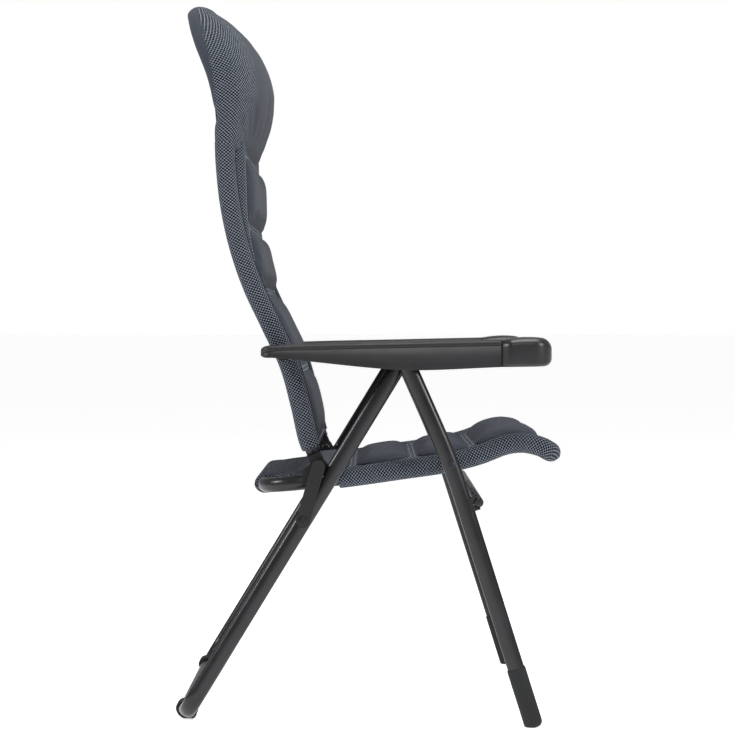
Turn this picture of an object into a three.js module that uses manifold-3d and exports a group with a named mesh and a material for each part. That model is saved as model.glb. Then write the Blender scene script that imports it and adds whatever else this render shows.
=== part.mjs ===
// High-back folding camp chair: oval-tube legs on a four-bar fold, a reclining back and notched armrests.
// Millimetres, +Z up, +X to the front of the chair, the sitter's right side at -Y.
import * as THREE from "three";
import { mergeVertices } from "three/addons/utils/BufferGeometryUtils.js";
import Module from "manifold-3d";

const wasm = await Module();
wasm.setup();

// ---- driving dimensions -------------------------------------------------------------------------
const radians = THREE.MathUtils.degToRad;
const fit = 0.3; // gap between touching pieces
const running = 1.2; // gap between pieces that turn past each other
const sides = 12; // facets round a tube
const lobeSteps = 12; // round the end of a flat piece

// side view: x to the front, z up
const armPin = new THREE.Vector2(49.2, 587); // the pivot at the top of the legs
const rearLegLean = 31.46; // degrees from the vertical
const linkPivotDown = 306.2; // along the rear leg, from the arm pin
const frontLegLean = 23.9; // degrees, above the seat pivot
const frontFootLean = 17.5; // degrees, below the seat pivot
const seatPivotDown = 186.7; // along the front leg, from the arm pin
const hinge = new THREE.Vector2(-86.3, 411.3); // the seat, back and link turn on it
const backPivotHeight = 593; // the armrest's pivot on the back tube

// tubes: width across the chair, depth in the side view
const legTube = { width: 18, depth: 27 };
const seatTube = { width: 20, depth: 24 };
const backTube = { width: seatTube.width, depth: 24 };
const crossTubeRadius = 8;
const frontRailRadius = 9;

// layers from the middle of the chair outwards
const bodyHalfSpan = 236; // seat and back tube centres
const legGap = 13; // from the seat tubes to the rear legs
const linkThickness = 4;
const armWall = 3;
const armCheekGap = 5.3; // from the front legs to the armrest's outer wall
const paddleOverhang = 15; // of the armrest's front cap, outwards

// feet
const rearBarHeight = 13.2;
const rearCorner = 42;
const bootLength = 98;
const bootWall = 1.6;
const padWall = 4.6;
const padLength = 32;

// seat
const seatSide = [
  [285, 434],
  [272, 441],
  [244, 447.4],
  [215, 444.5],
  [172, 428.5],
  [124.9, 416.3],
  [44, 404],
  [-45, 391.5],
  [-179, 376.5],
];
const seatCorner = 60;
const seatSleeveFrom = -60; // in front of this the fabric wraps the side tubes
const sleeve = 4; // fabric round a tube
const lugWall = 4;

// back
const backEndGap = 21; // from the hinge to the end of the back tube
const backSide = [
  [hinge.x - backEndGap * Math.cos(radians(66.5)), hinge.y + backEndGap * Math.sin(radians(66.5))],
  [-104, 452],
  [-117, 508],
  [-135, 573],
  [-165, 638],
  [-195, 702],
  [-217, 767],
  [-231, 832],
  [-238, 896],
  [-241, 960],
  [-248, 1022],
  [-263, 1080],
  [-281, 1128],
  [-289, 1149],
];
const backCorner = 105;
const backPadBottom = 440;
const headPadBottom = 922;

// armrest
const armTopAtPin = 22; // top surface above the arm pin
const armBehindPivot = 36;
const armReach = 425; // from its pivot to the tip
const capLength = 80;
const notchCount = 7;
const rackShare = 0.7686; // of the way from the arm pin to the front cap, with notches
const armPinRadius = 5;
const boltRadius = 4;
const spacerWall = 2.5; // round the seat pivot's bolt
const hingeSpacerRadius = 9.5;
const armSpacerRadius = 12;
const bushRadius = 7;

// ---- places worked out from them ----------------------------------------------------------------
function leaning(from, degrees, length, forward) {
  const lean = radians(degrees);
  return new THREE.Vector2(
    from.x + forward * Math.sin(lean) * length,
    from.y - Math.cos(lean) * length,
  );
}

const linkPivot = leaning(armPin, rearLegLean, linkPivotDown, -1);
const seatPivot = leaning(armPin, frontLegLean, seatPivotDown, 1);
const rearLegLength = (armPin.y - rearBarHeight) / Math.cos(radians(rearLegLean));
const rearFoot = leaning(armPin, rearLegLean, rearLegLength, -1);
const frontFootLength = seatPivot.y / Math.cos(radians(frontFootLean));
const frontFoot = leaning(seatPivot, frontFootLean, frontFootLength, 1);

const bodyInner = bodyHalfSpan - seatTube.width / 2;
const bodyOuter = bodyHalfSpan + seatTube.width / 2;
const rearLegHalfSpan = bodyOuter + legGap + legTube.width / 2;
const rearLegInner = rearLegHalfSpan - legTube.width / 2;
const rearLegOuter = rearLegHalfSpan + legTube.width / 2;
const linkInner = rearLegOuter + running;
const linkOuter = linkInner + linkThickness;
const frontLegInner = linkOuter + 2 * running;
const frontLegHalfSpan = frontLegInner + legTube.width / 2;
const frontLegOuter = frontLegInner + legTube.width;
const armInner = bodyOuter + sleeve + 2 * running;
const armOuter = frontLegOuter + armCheekGap + armWall;

// ---- building blocks ----------------------------------------------------------------------------
function solid(geometry) {
  const bare = geometry.clone();
  for (const name of Object.keys(bare.attributes)) {
    if (name !== "position") bare.deleteAttribute(name);
  }
  const merged = mergeVertices(bare, 1e-3);
  const made = new wasm.Manifold(
    new wasm.Mesh({
      numProp: 3,
      vertProperties: merged.attributes.position.array,
      triVerts: new Uint32Array(merged.index.array),
    }),
  );
  return made;
}

function geometryOf(made) {
  const mesh = made.getMesh();
  const geometry = new THREE.BufferGeometry();
  geometry.setAttribute("position", new THREE.BufferAttribute(mesh.vertProperties, 3));
  geometry.setIndex(new THREE.BufferAttribute(mesh.triVerts, 1));
  geometry.computeVertexNormals();
  return geometry;
}

function polygon(points) {
  return new THREE.Shape(points.map(([x, y]) => new THREE.Vector2(x, y)));
}

// A side-view outline (x, z) as a slab between y = near and y = far.
function slab(shape, near, far) {
  const geometry = new THREE.ExtrudeGeometry(shape, {
    depth: Math.abs(far - near),
    bevelEnabled: false,
    curveSegments: 10,
  });
  geometry.rotateX(Math.PI / 2);
  geometry.translate(0, Math.max(near, far), 0);
  return solid(geometry);
}

// A plan outline (x, y) as a block between z = low and z = high.
function block(shape, low, high) {
  const geometry = new THREE.ExtrudeGeometry(shape, {
    depth: high - low,
    bevelEnabled: false,
    curveSegments: 10,
  });
  geometry.translate(0, 0, low);
  return solid(geometry);
}

// A front-view outline (y, z) as a block between x = back and x = front.
function plate(shape, back, front) {
  const geometry = new THREE.ExtrudeGeometry(shape, {
    depth: front - back,
    bevelEnabled: false,
    curveSegments: 12,
  });
  geometry.rotateY(Math.PI / 2);
  geometry.rotateX(Math.PI / 2);
  geometry.translate(back, 0, 0);
  return solid(geometry);
}

// An outline with a round end at centre and a tail along a direction: its points are (along, across).
function lobe(centre, along, radius, tail) {
  const across = new THREE.Vector2(-along.y, along.x);
  const at = (length, out) => [
    centre.x + along.x * length + across.x * out,
    centre.y + along.y * length + across.y * out,
  ];
  const points = [];
  for (let i = 0; i <= lobeSteps; i += 1) {
    const turn = (Math.PI * i) / lobeSteps;
    points.push(at(-radius * Math.sin(turn), -radius * Math.cos(turn)));
  }
  for (const [length, out] of tail) points.push(at(length, out));
  return facingOut(polygon(points));
}

function facingOut(shape) {
  const points = shape.getPoints();
  if (THREE.ShapeUtils.isClockWise(points)) points.reverse();
  return new THREE.Shape(points);
}

// A round bar across the chair at a side-view point.
function bar(at, radius, near, far, facets = 20) {
  const length = Math.abs(far - near);
  const geometry = new THREE.CylinderGeometry(radius, radius, length, facets);
  geometry.translate(at.x, (near + far) / 2, at.y);
  return solid(geometry);
}

// A bolt across the chair: a shank from near to far, with a domed head on the near end.
function bolt(at, radius, near, far, headRadius, headHeight) {
  const outward = Math.sign(near - far);
  const length = Math.abs(far - near);
  const profile = [
    new THREE.Vector2(0, 0),
    new THREE.Vector2(radius, 0),
    new THREE.Vector2(radius, length),
    new THREE.Vector2(headRadius, length),
    new THREE.Vector2(headRadius, length + headHeight * 0.6),
    new THREE.Vector2(headRadius * 0.75, length + headHeight),
    new THREE.Vector2(0, length + headHeight),
  ];
  const geometry = new THREE.LatheGeometry(profile, 16);
  if (outward < 0) geometry.rotateX(Math.PI);
  geometry.translate(at.x, far, at.y);
  return solid(geometry);
}

// A hole across the chair, a little longer than the piece between near and far.
function bore(at, radius, near, far) {
  return bar(at, radius + fit, Math.min(near, far) - 1, Math.max(near, far) + 1);
}

// A ring across the chair, round a bar of the given radius.
function ring(at, radius, outer, near, far) {
  return bar(at, outer, near, far).subtract(bore(at, radius, near, far));
}

function oval(tube, grow = 0) {
  const shape = new THREE.Shape();
  const outline = [];
  for (let i = 0; i < sides; i += 1) {
    const turn = (2 * Math.PI * (i + 0.5)) / sides;
    outline.push([
      (tube.width / 2 + grow) * Math.cos(turn),
      (tube.depth / 2 + grow) * Math.sin(turn),
    ]);
  }
  shape.setFromPoints(outline.map(([x, y]) => new THREE.Vector2(x, y)));
  return shape;
}

// A path made of pieces, each with its own number of steps.
class SteppedPath extends THREE.Curve {
  constructor(pieces) {
    super();
    this.pieces = pieces;
    this.steps = pieces.reduce((sum, piece) => sum + piece.steps, 0);
  }

  getPoint(t) {
    let left = THREE.MathUtils.clamp(t, 0, 1) * this.steps;
    for (const piece of this.pieces) {
      if (left <= piece.steps) return piece.curve.getPoint(left / piece.steps);
      left -= piece.steps;
    }
    return this.pieces.at(-1).curve.getPoint(1);
  }

  getPointAt(u) {
    return this.getPoint(u);
  }

  getTangentAt(u) {
    return this.getTangent(u);
  }
}

function sweep(path, tube, grow = 0) {
  return solid(
    new THREE.ExtrudeGeometry(oval(tube, grow), { steps: path.steps, extrudePath: path }),
  );
}

function sideCurve(points) {
  return new THREE.CatmullRomCurve3(points.map(([x, z]) => new THREE.Vector3(x, 0, z)));
}

// One side of a bent frame: it follows the side curve at y = side * halfSpan, then turns a round corner
// towards the middle of the chair in the surface that the curve sweeps across the chair.
class FrameSide extends THREE.Curve {
  constructor(curve, halfSpan, corner, side, part) {
    super();
    Object.assign(this, { curve, halfSpan, corner, side, part });
    this.length = curve.getLength();
  }

  getPoint(t) {
    const straight = this.length - this.corner;
    let along = straight * t;
    let inset = 0;
    if (this.part === "corner") {
      const turn = (t * Math.PI) / 2;
      along = straight + this.corner * Math.sin(turn);
      inset = this.corner * (1 - Math.cos(turn));
    }
    const point = this.curve.getPointAt(THREE.MathUtils.clamp(along / this.length, 0, 1));
    point.y = this.side * (this.halfSpan - inset);
    return point;
  }
}

class Reversed extends THREE.Curve {
  constructor(curve) {
    super();
    this.curve = curve;
  }

  getPoint(t) {
    return this.curve.getPoint(1 - t);
  }
}

// A U-shaped frame: side, corner, cross bar, corner, side.
function framePath(points, halfSpan, corner, sideSteps) {
  const curve = sideCurve(points);
  const end = curve.getPoint(1);
  const barEnd = (side) => new THREE.Vector3(end.x, side * (halfSpan - corner), end.z);
  const piece = (side, part, steps) => ({
    curve: new FrameSide(curve, halfSpan, corner, side, part),
    steps,
  });
  const turned = ({ curve: forward, steps }) => ({ curve: new Reversed(forward), steps });
  return new SteppedPath([
    piece(-1, "side", sideSteps),
    piece(-1, "corner", 6),
    { curve: new THREE.LineCurve3(barEnd(-1), barEnd(1)), steps: 1 },
    turned(piece(1, "corner", 6)),
    turned(piece(1, "side", sideSteps)),
  ]);
}

function line(from, to, y) {
  return new THREE.LineCurve3(
    new THREE.Vector3(from.x, y, from.y),
    new THREE.Vector3(to.x, y, to.y),
  );
}

// The outline at two offsets from a side curve, above (or in front of) it and below (or behind) it.
function bandOutline(points, from, to, over, under, steps) {
  const curve = sideCurve(points);
  const upper = [];
  const lower = [];
  for (let i = 0; i <= steps; i += 1) {
    const share = i / steps;
    const u = THREE.MathUtils.lerp(from, to, share);
    const point = curve.getPointAt(u);
    const tangent = curve.getTangentAt(u);
    const up = over(share);
    const down = under(share);
    upper.push([point.x + tangent.z * up, point.z - tangent.x * up]);
    lower.push([point.x - tangent.z * down, point.z + tangent.x * down]);
  }
  return polygon([...upper, ...lower.reverse()]);
}

// Where a side curve passes a given x or z, as a share of its length.
function shareWhere(points, axis, value) {
  const curve = sideCurve(points);
  const rising = curve.getPointAt(1)[axis] > curve.getPointAt(0)[axis];
  let low = 0;
  let high = 1;
  for (let i = 0; i < 40; i += 1) {
    const middle = (low + high) / 2;
    if (curve.getPointAt(middle)[axis] > value === rising) high = middle;
    else low = middle;
  }
  return low;
}

// A value that follows a few (share, value) stations smoothly.
function stations(list) {
  return (share) => {
    const next = list.findIndex(([at]) => at >= share);
    if (next <= 0) return list.at(next)[1];
    const [a, valueA] = list[next - 1];
    const [b, valueB] = list[next];
    return THREE.MathUtils.lerp(valueA, valueB, THREE.MathUtils.smoothstep(share, a, b));
  };
}

// ---- materials ----------------------------------------------------------------------------------
const looks = {
  tube: { color: 0x3c3d40, roughness: 0.42, metalness: 0.6 },
  black: { color: 0x1d1e20, roughness: 0.6, metalness: 0 },
  moulding: { color: 0x323235, roughness: 0.55, metalness: 0 },
  rubber: { color: 0x1f1f21, roughness: 0.85, metalness: 0 },
  fabric: { color: 0x3a414c, roughness: 0.95, metalness: 0 },
  steel: { color: 0x8a8c90, roughness: 0.35, metalness: 1 },
};

const chair = new THREE.Group();

function add(name, made, look) {
  const mesh = new THREE.Mesh(geometryOf(made), new THREE.MeshStandardMaterial(looks[look]));
  mesh.name = name;
  chair.add(mesh);
}

// Calls make(side, suffix) for the right side (y < 0) and the left side.
function bothSides(make) {
  make(-1, "right");
  make(1, "left");
}

// ---- rear legs ----------------------------------------------------------------------------------
const fittingLength = 44; // of the black fittings at the tops of the legs
const fittingHalfDepth = legTube.depth / 2;

function legFitting(lean, forward, near, far) {
  const along = leaning(new THREE.Vector2(0, 0), lean, 1, forward);
  const outline = lobe(armPin, along, fittingHalfDepth, [
    [fittingLength, fittingHalfDepth],
    [fittingLength, -fittingHalfDepth],
  ]);
  return slab(outline, near, far).subtract(bore(armPin, armPinRadius, near, far));
}

function rearLegs() {
  const top = leaning(armPin, rearLegLean, fittingLength + fit, -1);
  const bend = leaning(rearFoot, rearLegLean, -rearCorner, -1);
  const points = [
    [top.x, top.y],
    [bend.x, bend.y],
    [rearFoot.x, rearFoot.y],
  ];
  let frame = sweep(framePath(points, rearLegHalfSpan, rearCorner, 1), legTube);
  bothSides((side) => {
    frame = frame.subtract(bore(linkPivot, boltRadius, side * rearLegInner, side * rearLegOuter));
  });
  add("rear_leg_frame", frame, "tube");
  bothSides((side, suffix) => {
    add(
      "rear_leg_fitting_" + suffix,
      legFitting(rearLegLean, -1, side * rearLegInner, side * rearLegOuter),
      "black",
    );
    add("rear_foot_pad_" + suffix, rearFootPad(side), "rubber");
    const pinEnd = armInner + armWall + running;
    const pinFar = armOuter - armWall - running;
    add("arm_pin_" + suffix, bar(armPin, armPinRadius, side * pinEnd, side * pinFar), "steel");
    add(
      "link_screw_" + suffix,
      bolt(linkPivot, boltRadius, side * (linkOuter + fit), side * rearLegInner, 7.5, 2),
      "steel",
    );
  });
}

// A rubber clip round the floor bar, flat where it stands on the ground.
function rearFootPad(side) {
  const outerEnd = rearLegHalfSpan - rearCorner - 2;
  const clip = (grow, stretch) => {
    const geometry = new THREE.CylinderGeometry(1, 1, padLength + stretch, 20);
    geometry.scale(legTube.depth / 2 + grow, 1, legTube.width / 2 + grow);
    geometry.rotateY(radians(rearLegLean));
    geometry.translate(rearFoot.x, side * (outerEnd - padLength / 2), rearFoot.y);
    return solid(geometry);
  };
  const reach = legTube.depth;
  const ground = slab(
    polygon([
      [rearFoot.x - 2 * reach, 0],
      [rearFoot.x + 2 * reach, 0],
      [rearFoot.x + 2 * reach, 3 * reach],
      [rearFoot.x - 2 * reach, 3 * reach],
    ]),
    -2 * rearLegHalfSpan,
    2 * rearLegHalfSpan,
  );
  return clip(padWall, 0).subtract(clip(fit, 2)).intersect(ground);
}

// ---- front legs ---------------------------------------------------------------------------------
const bootFoot = 24; // of solid rubber under the tube
const legBend = 60; // length over which the front leg bends, each way from the seat pivot
const crossDrop = 70; // of the cross tube below the seat pivot, along the leg

function frontLegPath(side, from, to) {
  const y = side * frontLegHalfSpan;
  const start = leaning(armPin, frontLegLean, from, 1);
  const bendStart = leaning(armPin, frontLegLean, seatPivotDown - legBend, 1);
  const bendEnd = leaning(seatPivot, frontFootLean, legBend, 1);
  const end = leaning(seatPivot, frontFootLean, to, 1);
  const at = (point) => new THREE.Vector3(point.x, y, point.y);
  return new SteppedPath([
    { curve: line(start, bendStart, y), steps: 1 },
    { curve: new THREE.QuadraticBezierCurve3(at(bendStart), at(seatPivot), at(bendEnd)), steps: 6 },
    { curve: line(bendEnd, end, y), steps: 1 },
  ]);
}

function frontLeg(side) {
  const path = frontLegPath(side, fittingLength + fit, frontFootLength - bootFoot);
  const hole = bore(seatPivot, boltRadius, side * frontLegInner, side * frontLegOuter);
  return sweep(path, legTube).subtract(hole);
}

function boot(side) {
  const lean = radians(frontFootLean);
  const halfDepth = legTube.depth / 2 + bootWall;
  const halfWidth = legTube.width / 2 + bootWall;
  const tipRound = 9;
  const below = 4; // the round end is cut flat this far above its tip
  const profile = [
    new THREE.Vector2(0, -below),
    new THREE.Vector2(0.6, -below + 0.12 * tipRound),
    new THREE.Vector2(0.88, -below + 0.45 * tipRound),
    new THREE.Vector2(1, -below + tipRound),
    new THREE.Vector2(1, bootLength - 2),
    new THREE.Vector2(0.95, bootLength),
    new THREE.Vector2(0, bootLength),
  ];
  const outer = new THREE.LatheGeometry(profile, 20);
  outer.scale(halfDepth, 1, halfWidth);
  outer.rotateX(Math.PI / 2);
  outer.rotateY(-lean);
  outer.translate(frontFoot.x, side * frontLegHalfSpan, frontFoot.y);
  const reach = bootLength;
  const ground = slab(
    polygon([
      [frontFoot.x - reach, 0],
      [frontFoot.x + reach, 0],
      [frontFoot.x + reach, 2 * reach],
      [frontFoot.x - reach, 2 * reach],
    ]),
    side * (frontLegInner - reach),
    side * (frontLegOuter + reach),
  );
  const socket = sweep(
    frontLegPath(side, fittingLength, frontFootLength - bootFoot + fit),
    legTube,
    fit,
  );
  return solid(outer).intersect(ground).subtract(socket);
}

function crossTubeAt() {
  const along = leaning(seatPivot, frontFootLean, crossDrop, 1);
  const lean = radians(frontFootLean);
  const clear = legTube.depth / 2 + crossTubeRadius + 2;
  return new THREE.Vector2(along.x + Math.cos(lean) * clear, along.y + Math.sin(lean) * clear);
}

function saddle(side) {
  const centre = crossTubeAt();
  const lean = radians(frontFootLean);
  const geometry = new THREE.BoxGeometry(20, legTube.width * 0.8, 22);
  geometry.translate(-10, 0, 0);
  geometry.rotateY(-lean);
  geometry.translate(centre.x, side * frontLegHalfSpan, centre.y);
  const leg = sweep(frontLegPath(side, fittingLength, frontFootLength), legTube, fit);
  const tube = bar(centre, crossTubeRadius + fit, -2 * frontLegHalfSpan, 2 * frontLegHalfSpan);
  return solid(geometry).subtract(leg).subtract(tube).decompose()
    .reduce((best, one) => (one.boundingBox().max[0] > best.boundingBox().max[0] ? one : best));
}

function frontLegs() {
  const end = frontLegOuter - 2;
  add("front_cross_tube", bar(crossTubeAt(), crossTubeRadius, -end, end), "tube");
  bothSides((side, suffix) => {
    add("front_leg_" + suffix, frontLeg(side), "tube");
    add(
      "front_leg_fitting_" + suffix,
      legFitting(frontLegLean, 1, side * frontLegInner, side * frontLegOuter),
      "black",
    );
    add("front_boot_" + suffix, boot(side), "rubber");
    add("cross_tube_saddle_" + suffix, saddle(side), "black");
    add(
      "seat_pivot_bolt_" + suffix,
      bolt(seatPivot, boltRadius, side * (frontLegOuter + fit), side * (bodyOuter + sleeve + fit), 6, 2),
      "steel",
    );
    add(
      "seat_pivot_spacer_" + suffix,
      ring(seatPivot, boltRadius, boltRadius + spacerWall, side * (bodyOuter + sleeve + fit), side * (frontLegInner - fit)),
      "black",
    );
  });
}

// ---- links --------------------------------------------------------------------------------------
const linkHalfWidth = 11;
const blindDepth = 2.5;

function link(side) {
  const along = new THREE.Vector2().subVectors(linkPivot, hinge);
  const length = along.length();
  along.normalize();
  const near = side * linkInner;
  const far = side * linkOuter;
  const tail = [];
  for (let i = 0; i <= lobeSteps; i += 1) {
    const turn = (Math.PI * i) / lobeSteps;
    tail.push([
      length + linkHalfWidth * Math.sin(turn),
      linkHalfWidth * Math.cos(turn),
    ]);
  }
  const hole = bore(linkPivot, boltRadius, near, far);
  const blind = bar(hinge, boltRadius + fit, near - side, near + side * blindDepth);
  return slab(lobe(hinge, along, linkHalfWidth, tail), near, far).subtract(hole).subtract(blind);
}

function links() {
  bothSides((side, suffix) => {
    add("link_" + suffix, link(side), "black");
    add(
      "hinge_spacer_" + suffix,
      ring(
        hinge,
        boltRadius,
        hingeSpacerRadius,
        side * (bodyOuter + fit + lugWall + fit),
        side * (linkInner - fit),
      ),
      "steel",
    );
  });
}

// ---- seat ---------------------------------------------------------------------------------------

function seatFramePath() {
  return framePath(seatSide, bodyHalfSpan, seatCorner, 12);
}

// A saddle bracket over the seat tube: two cheeks carry the hinge, with a bridge behind it.
function hingeLug(side) {
  const curve = sideCurve(seatSide);
  const under = curve.getPointAt(shareWhere(seatSide, "x", hinge.x)).z;
  const top = under + seatTube.depth / 2;
  const reach = 26;
  const cheek = polygon([
    [hinge.x - reach, under - 4],
    [hinge.x + reach, under + 2],
    [hinge.x + reach, top + 4],
    [hinge.x + 12, hinge.y + 3],
    [hinge.x - 12, hinge.y + 3],
    [hinge.x - reach, top + 4],
  ]);
  const innerFace = side * (bodyInner - fit);
  const outerFace = side * (bodyOuter + fit);
  const cheekAt = (face, outward) =>
    slab(cheek, face, face + outward * lugWall)
      .add(bar(hinge, 12, face, face + outward * lugWall, 24));
  const bridge = slab(
    polygon([
      [hinge.x - reach, top + 0.5 * fit - 2],
      [hinge.x - reach + 10, top + fit - 1],
      [hinge.x - reach + 10, top + 4],
      [hinge.x - reach, top + 4],
    ]),
    innerFace - side * fit,
    outerFace + side * fit,
  );
  return cheekAt(innerFace, -side)
    .add(cheekAt(outerFace, side))
    .add(bridge)
    .subtract(bore(hinge, boltRadius, innerFace - side * lugWall, outerFace + side * lugWall))
    .subtract(sweep(seatFramePath(), seatTube, fit));
}

function seatPad() {
  const curve = sideCurve(seatSide);
  const tip = curve.getPointAt(0);
  const rear = curve.getPointAt(1);
  const wrap = seatTube.depth / 2 + sleeve;
  const over = stations([[0, wrap], [0.1, wrap + 8], [0.45, wrap + 6], [0.62, wrap], [1, wrap]]);
  const under = stations([[0, wrap], [0.6, wrap], [0.75, 6], [0.9, 6], [1, wrap]]);
  const band = slab(
    bandOutline(seatSide, 0, 1, under, over, 18),
    -bodyHalfSpan * 1.2,
    bodyHalfSpan * 1.2,
  );
  const ends = bar(new THREE.Vector2(rear.x, rear.z), wrap, -bodyHalfSpan, bodyHalfSpan)
    .add(bar(new THREE.Vector2(tip.x, tip.z), wrap, -bodyHalfSpan * 1.2, bodyHalfSpan * 1.2));
  const half = bodyOuter + sleeve;
  const between = bodyInner - fit - lugWall - running;
  const rearHalf = bodyHalfSpan - seatCorner - 4;
  const inCorner = 34;
  const front = tip.x + wrap + 5;
  const outline = (side) => [
    [front, side * (half - 28)],
    [front - 8, side * (half - 9)],
    [front - 28, side * half],
    [seatSleeveFrom, side * half],
    [seatSleeveFrom, side * between],
    [rear.x + seatTube.width / 2 + inCorner, side * between],
    [rear.x + seatTube.width / 2 + 6, side * (between - 28)],
    [rear.x + seatTube.width / 2, side * rearHalf],
    [rear.x - wrap - 5, side * rearHalf],
  ];
  const plan = polygon([...outline(-1), ...outline(1).reverse()].reverse());
  return band
    .add(ends)
    .intersect(block(plan, 0, 2 * hinge.y))
    .subtract(sweep(seatFramePath(), seatTube, fit))
    .subtract(frontRail(fit));
}

function frontRail(grow = 0) {
  const tip = sideCurve(seatSide).getPointAt(0.012);
  const end = bodyInner - fit + (grow ? 4 : 0);
  return bar(new THREE.Vector2(tip.x, tip.z), frontRailRadius + grow, -end, end);
}

function seat() {
  add("seat_frame", sweep(seatFramePath(), seatTube), "tube");
  add("seat_front_rail", frontRail(), "tube");
  add("seat_pad", seatPad(), "fabric");
  bothSides((side, suffix) => {
    add("seat_hinge_lug_" + suffix, hingeLug(side), "black");
  });
}

// ---- back ---------------------------------------------------------------------------------------
function backPivot() {
  const at = sideCurve(backSide).getPointAt(shareWhere(backSide, "z", backPivotHeight));
  return new THREE.Vector2(at.x, at.z);
}

function backFramePath() {
  return framePath(backSide, bodyHalfSpan, backCorner, 15);
}

function backFrame() {
  let frame = sweep(backFramePath(), backTube);
  bothSides((side) => {
    frame = frame.subtract(
      bar(backPivot(), boltRadius + fit, side * (bodyOuter - 6), side * (bodyOuter + 6)),
    );
  });
  return frame;
}

const tongueHalfWidth = 11;

// The flattened end of the back tube, which turns on the hinge between the lug's cheeks.
function backEndFitting(side) {
  const near = side * (bodyInner + 1.5);
  const far = side * (bodyOuter - 1.5);
  const start = sideCurve(backSide).getPointAt(0);
  const along = new THREE.Vector2(start.x - hinge.x, start.z - hinge.y);
  const length = along.length() - 2 * fit;
  along.normalize();
  const outline = lobe(hinge, along, tongueHalfWidth, [
    [length, tongueHalfWidth],
    [length, -tongueHalfWidth],
  ]);
  return slab(outline, near, far).subtract(bore(hinge, boltRadius, near, far));
}

function frontView(half, corner, bottom, top) {
  const shape = new THREE.Shape();
  shape.moveTo(-half, bottom);
  shape.lineTo(half, bottom);
  shape.lineTo(half, top - corner);
  shape.absarc(half - corner, top - corner, corner, 0, Math.PI / 2);
  shape.lineTo(-half + corner, top);
  shape.absarc(-half + corner, top - corner, corner, Math.PI / 2, Math.PI);
  return shape;
}

const wrapDepth = backTube.depth / 2 + sleeve;
const backTop = backSide.at(-1);
const headTop = backTop[1] + backTube.width / 2 + 8;

function backPad() {
  const from = shareWhere(backSide, "z", backPadBottom);
  const to = shareWhere(backSide, "z", headPadBottom);
  const front = stations([[0, wrapDepth], [0.35, wrapDepth + 4], [0.7, 36], [0.95, 40], [1, 36]]);
  const half = bodyOuter + sleeve;
  const band = slab(
    bandOutline(backSide, from, to, front, () => wrapDepth, 14),
    -half,
    half,
  );
  const bracketRoom = (side) =>
    bar(backPivot(), armSpacerRadius + running, side * (bodyOuter - 1), side * (half + 5));
  return band
    .subtract(sweep(backFramePath(), backTube, fit))
    .subtract(bracketRoom(-1))
    .subtract(bracketRoom(1));
}

function headrest() {
  const from = shareWhere(backSide, "z", headPadBottom + 2);
  const front = stations([[0, 44], [0.35, 72], [0.7, 62], [1, 22]]);
  const half = bodyOuter + sleeve;
  const outline = bandOutline(backSide, from, 1, front, () => wrapDepth, 12);
  const cap = bar(new THREE.Vector2(backTop[0], backTop[1]), wrapDepth, -half, half);
  return slab(outline, -half, half)
    .add(cap)
    .intersect(
      plate(
        frontView(half, backCorner + backTube.width / 2 + sleeve, headPadBottom / 2, headTop),
        -3 * half,
        3 * half,
      ),
    )
    .subtract(sweep(backFramePath(), backTube, fit));
}

function back() {
  add("back_frame", backFrame(), "tube");
  add("back_pad", backPad(), "fabric");
  add("headrest", headrest(), "fabric");
  bothSides((side, suffix) => {
    add("back_end_fitting_" + suffix, backEndFitting(side), "black");
    add(
      "hinge_bolt_" + suffix,
      bolt(
        hinge,
        boltRadius,
        side * (bodyInner - fit - lugWall - fit),
        side * (linkInner + blindDepth - fit),
        7.5,
        2.5,
      ),
      "steel",
    );
    add(
      "armrest_spacer_" + suffix,
      ring(
        backPivot(),
        boltRadius,
        armSpacerRadius,
        side * (bodyOuter + fit),
        side * (armInner - running),
      ),
      "steel",
    );
    add(
      "armrest_bolt_" + suffix,
      bolt(
        backPivot(),
        boltRadius,
        side * (armInner + armWall + running),
        side * (bodyOuter - 6 + fit),
        7,
        2.5,
      ),
      "steel",
    );
    add(
      "armrest_bush_" + suffix,
      ring(
        backPivot(),
        boltRadius,
        bushRadius,
        side * (armInner - fit),
        side * (armInner + armWall + fit),
      ),
      "steel",
    );
  });
}

// ---- armrests -----------------------------------------------------------------------------------
// Side view of an armrest, grown inwards by inset; its underside stays open when open is set.
function armSide(inset, open) {
  const pivot = backPivot();
  const rear = pivot.x - armBehindPivot;
  const topAtPin = armPin.y + armTopAtPin;
  const seam = pivot.x + armReach - capLength;
  const dip = open ? 40 : 0;
  return polygon([
    [rear + inset, pivot.y - bushRadius - 4 - dip],
    [pivot.x + 20, pivot.y - bushRadius - 5 - dip],
    [armPin.x - 40, armPin.y - 20 - dip],
    [seam, armPin.y - 15 - dip],
    [seam - (open ? inset : 0), armPin.y + 27 - inset],
    [armPin.x + 60, topAtPin + 2 - inset],
    [armPin.x - 60, topAtPin - 2 - inset],
    [rear + 24, pivot.y + bushRadius + 5.5 - inset],
    [rear + 6 + inset, pivot.y + bushRadius + 3.5 - inset],
    [rear + inset, pivot.y + bushRadius - 2 - inset * 0.5],
  ]);
}

function armPlan(side, inset) {
  const pivot = backPivot();
  const rear = pivot.x - armBehindPivot;
  const seam = pivot.x + armReach - capLength;
  const inner = armInner + inset;
  const outer = armOuter - inset;
  const round = 14;
  return polygon(
    [
      [rear + inset, side * (inner + round)],
      [rear + inset, side * (outer - round)],
      [rear + 5 + inset, side * (outer - 4)],
      [rear + 18 + inset, side * outer],
      [seam - 60, side * outer],
      [seam - inset, side * (outer + 4)],
      [seam - inset, side * inner],
      [rear + 18 + inset, side * inner],
      [rear + 5 + inset, side * (inner + 4)],
    ],
  );
}

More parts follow.
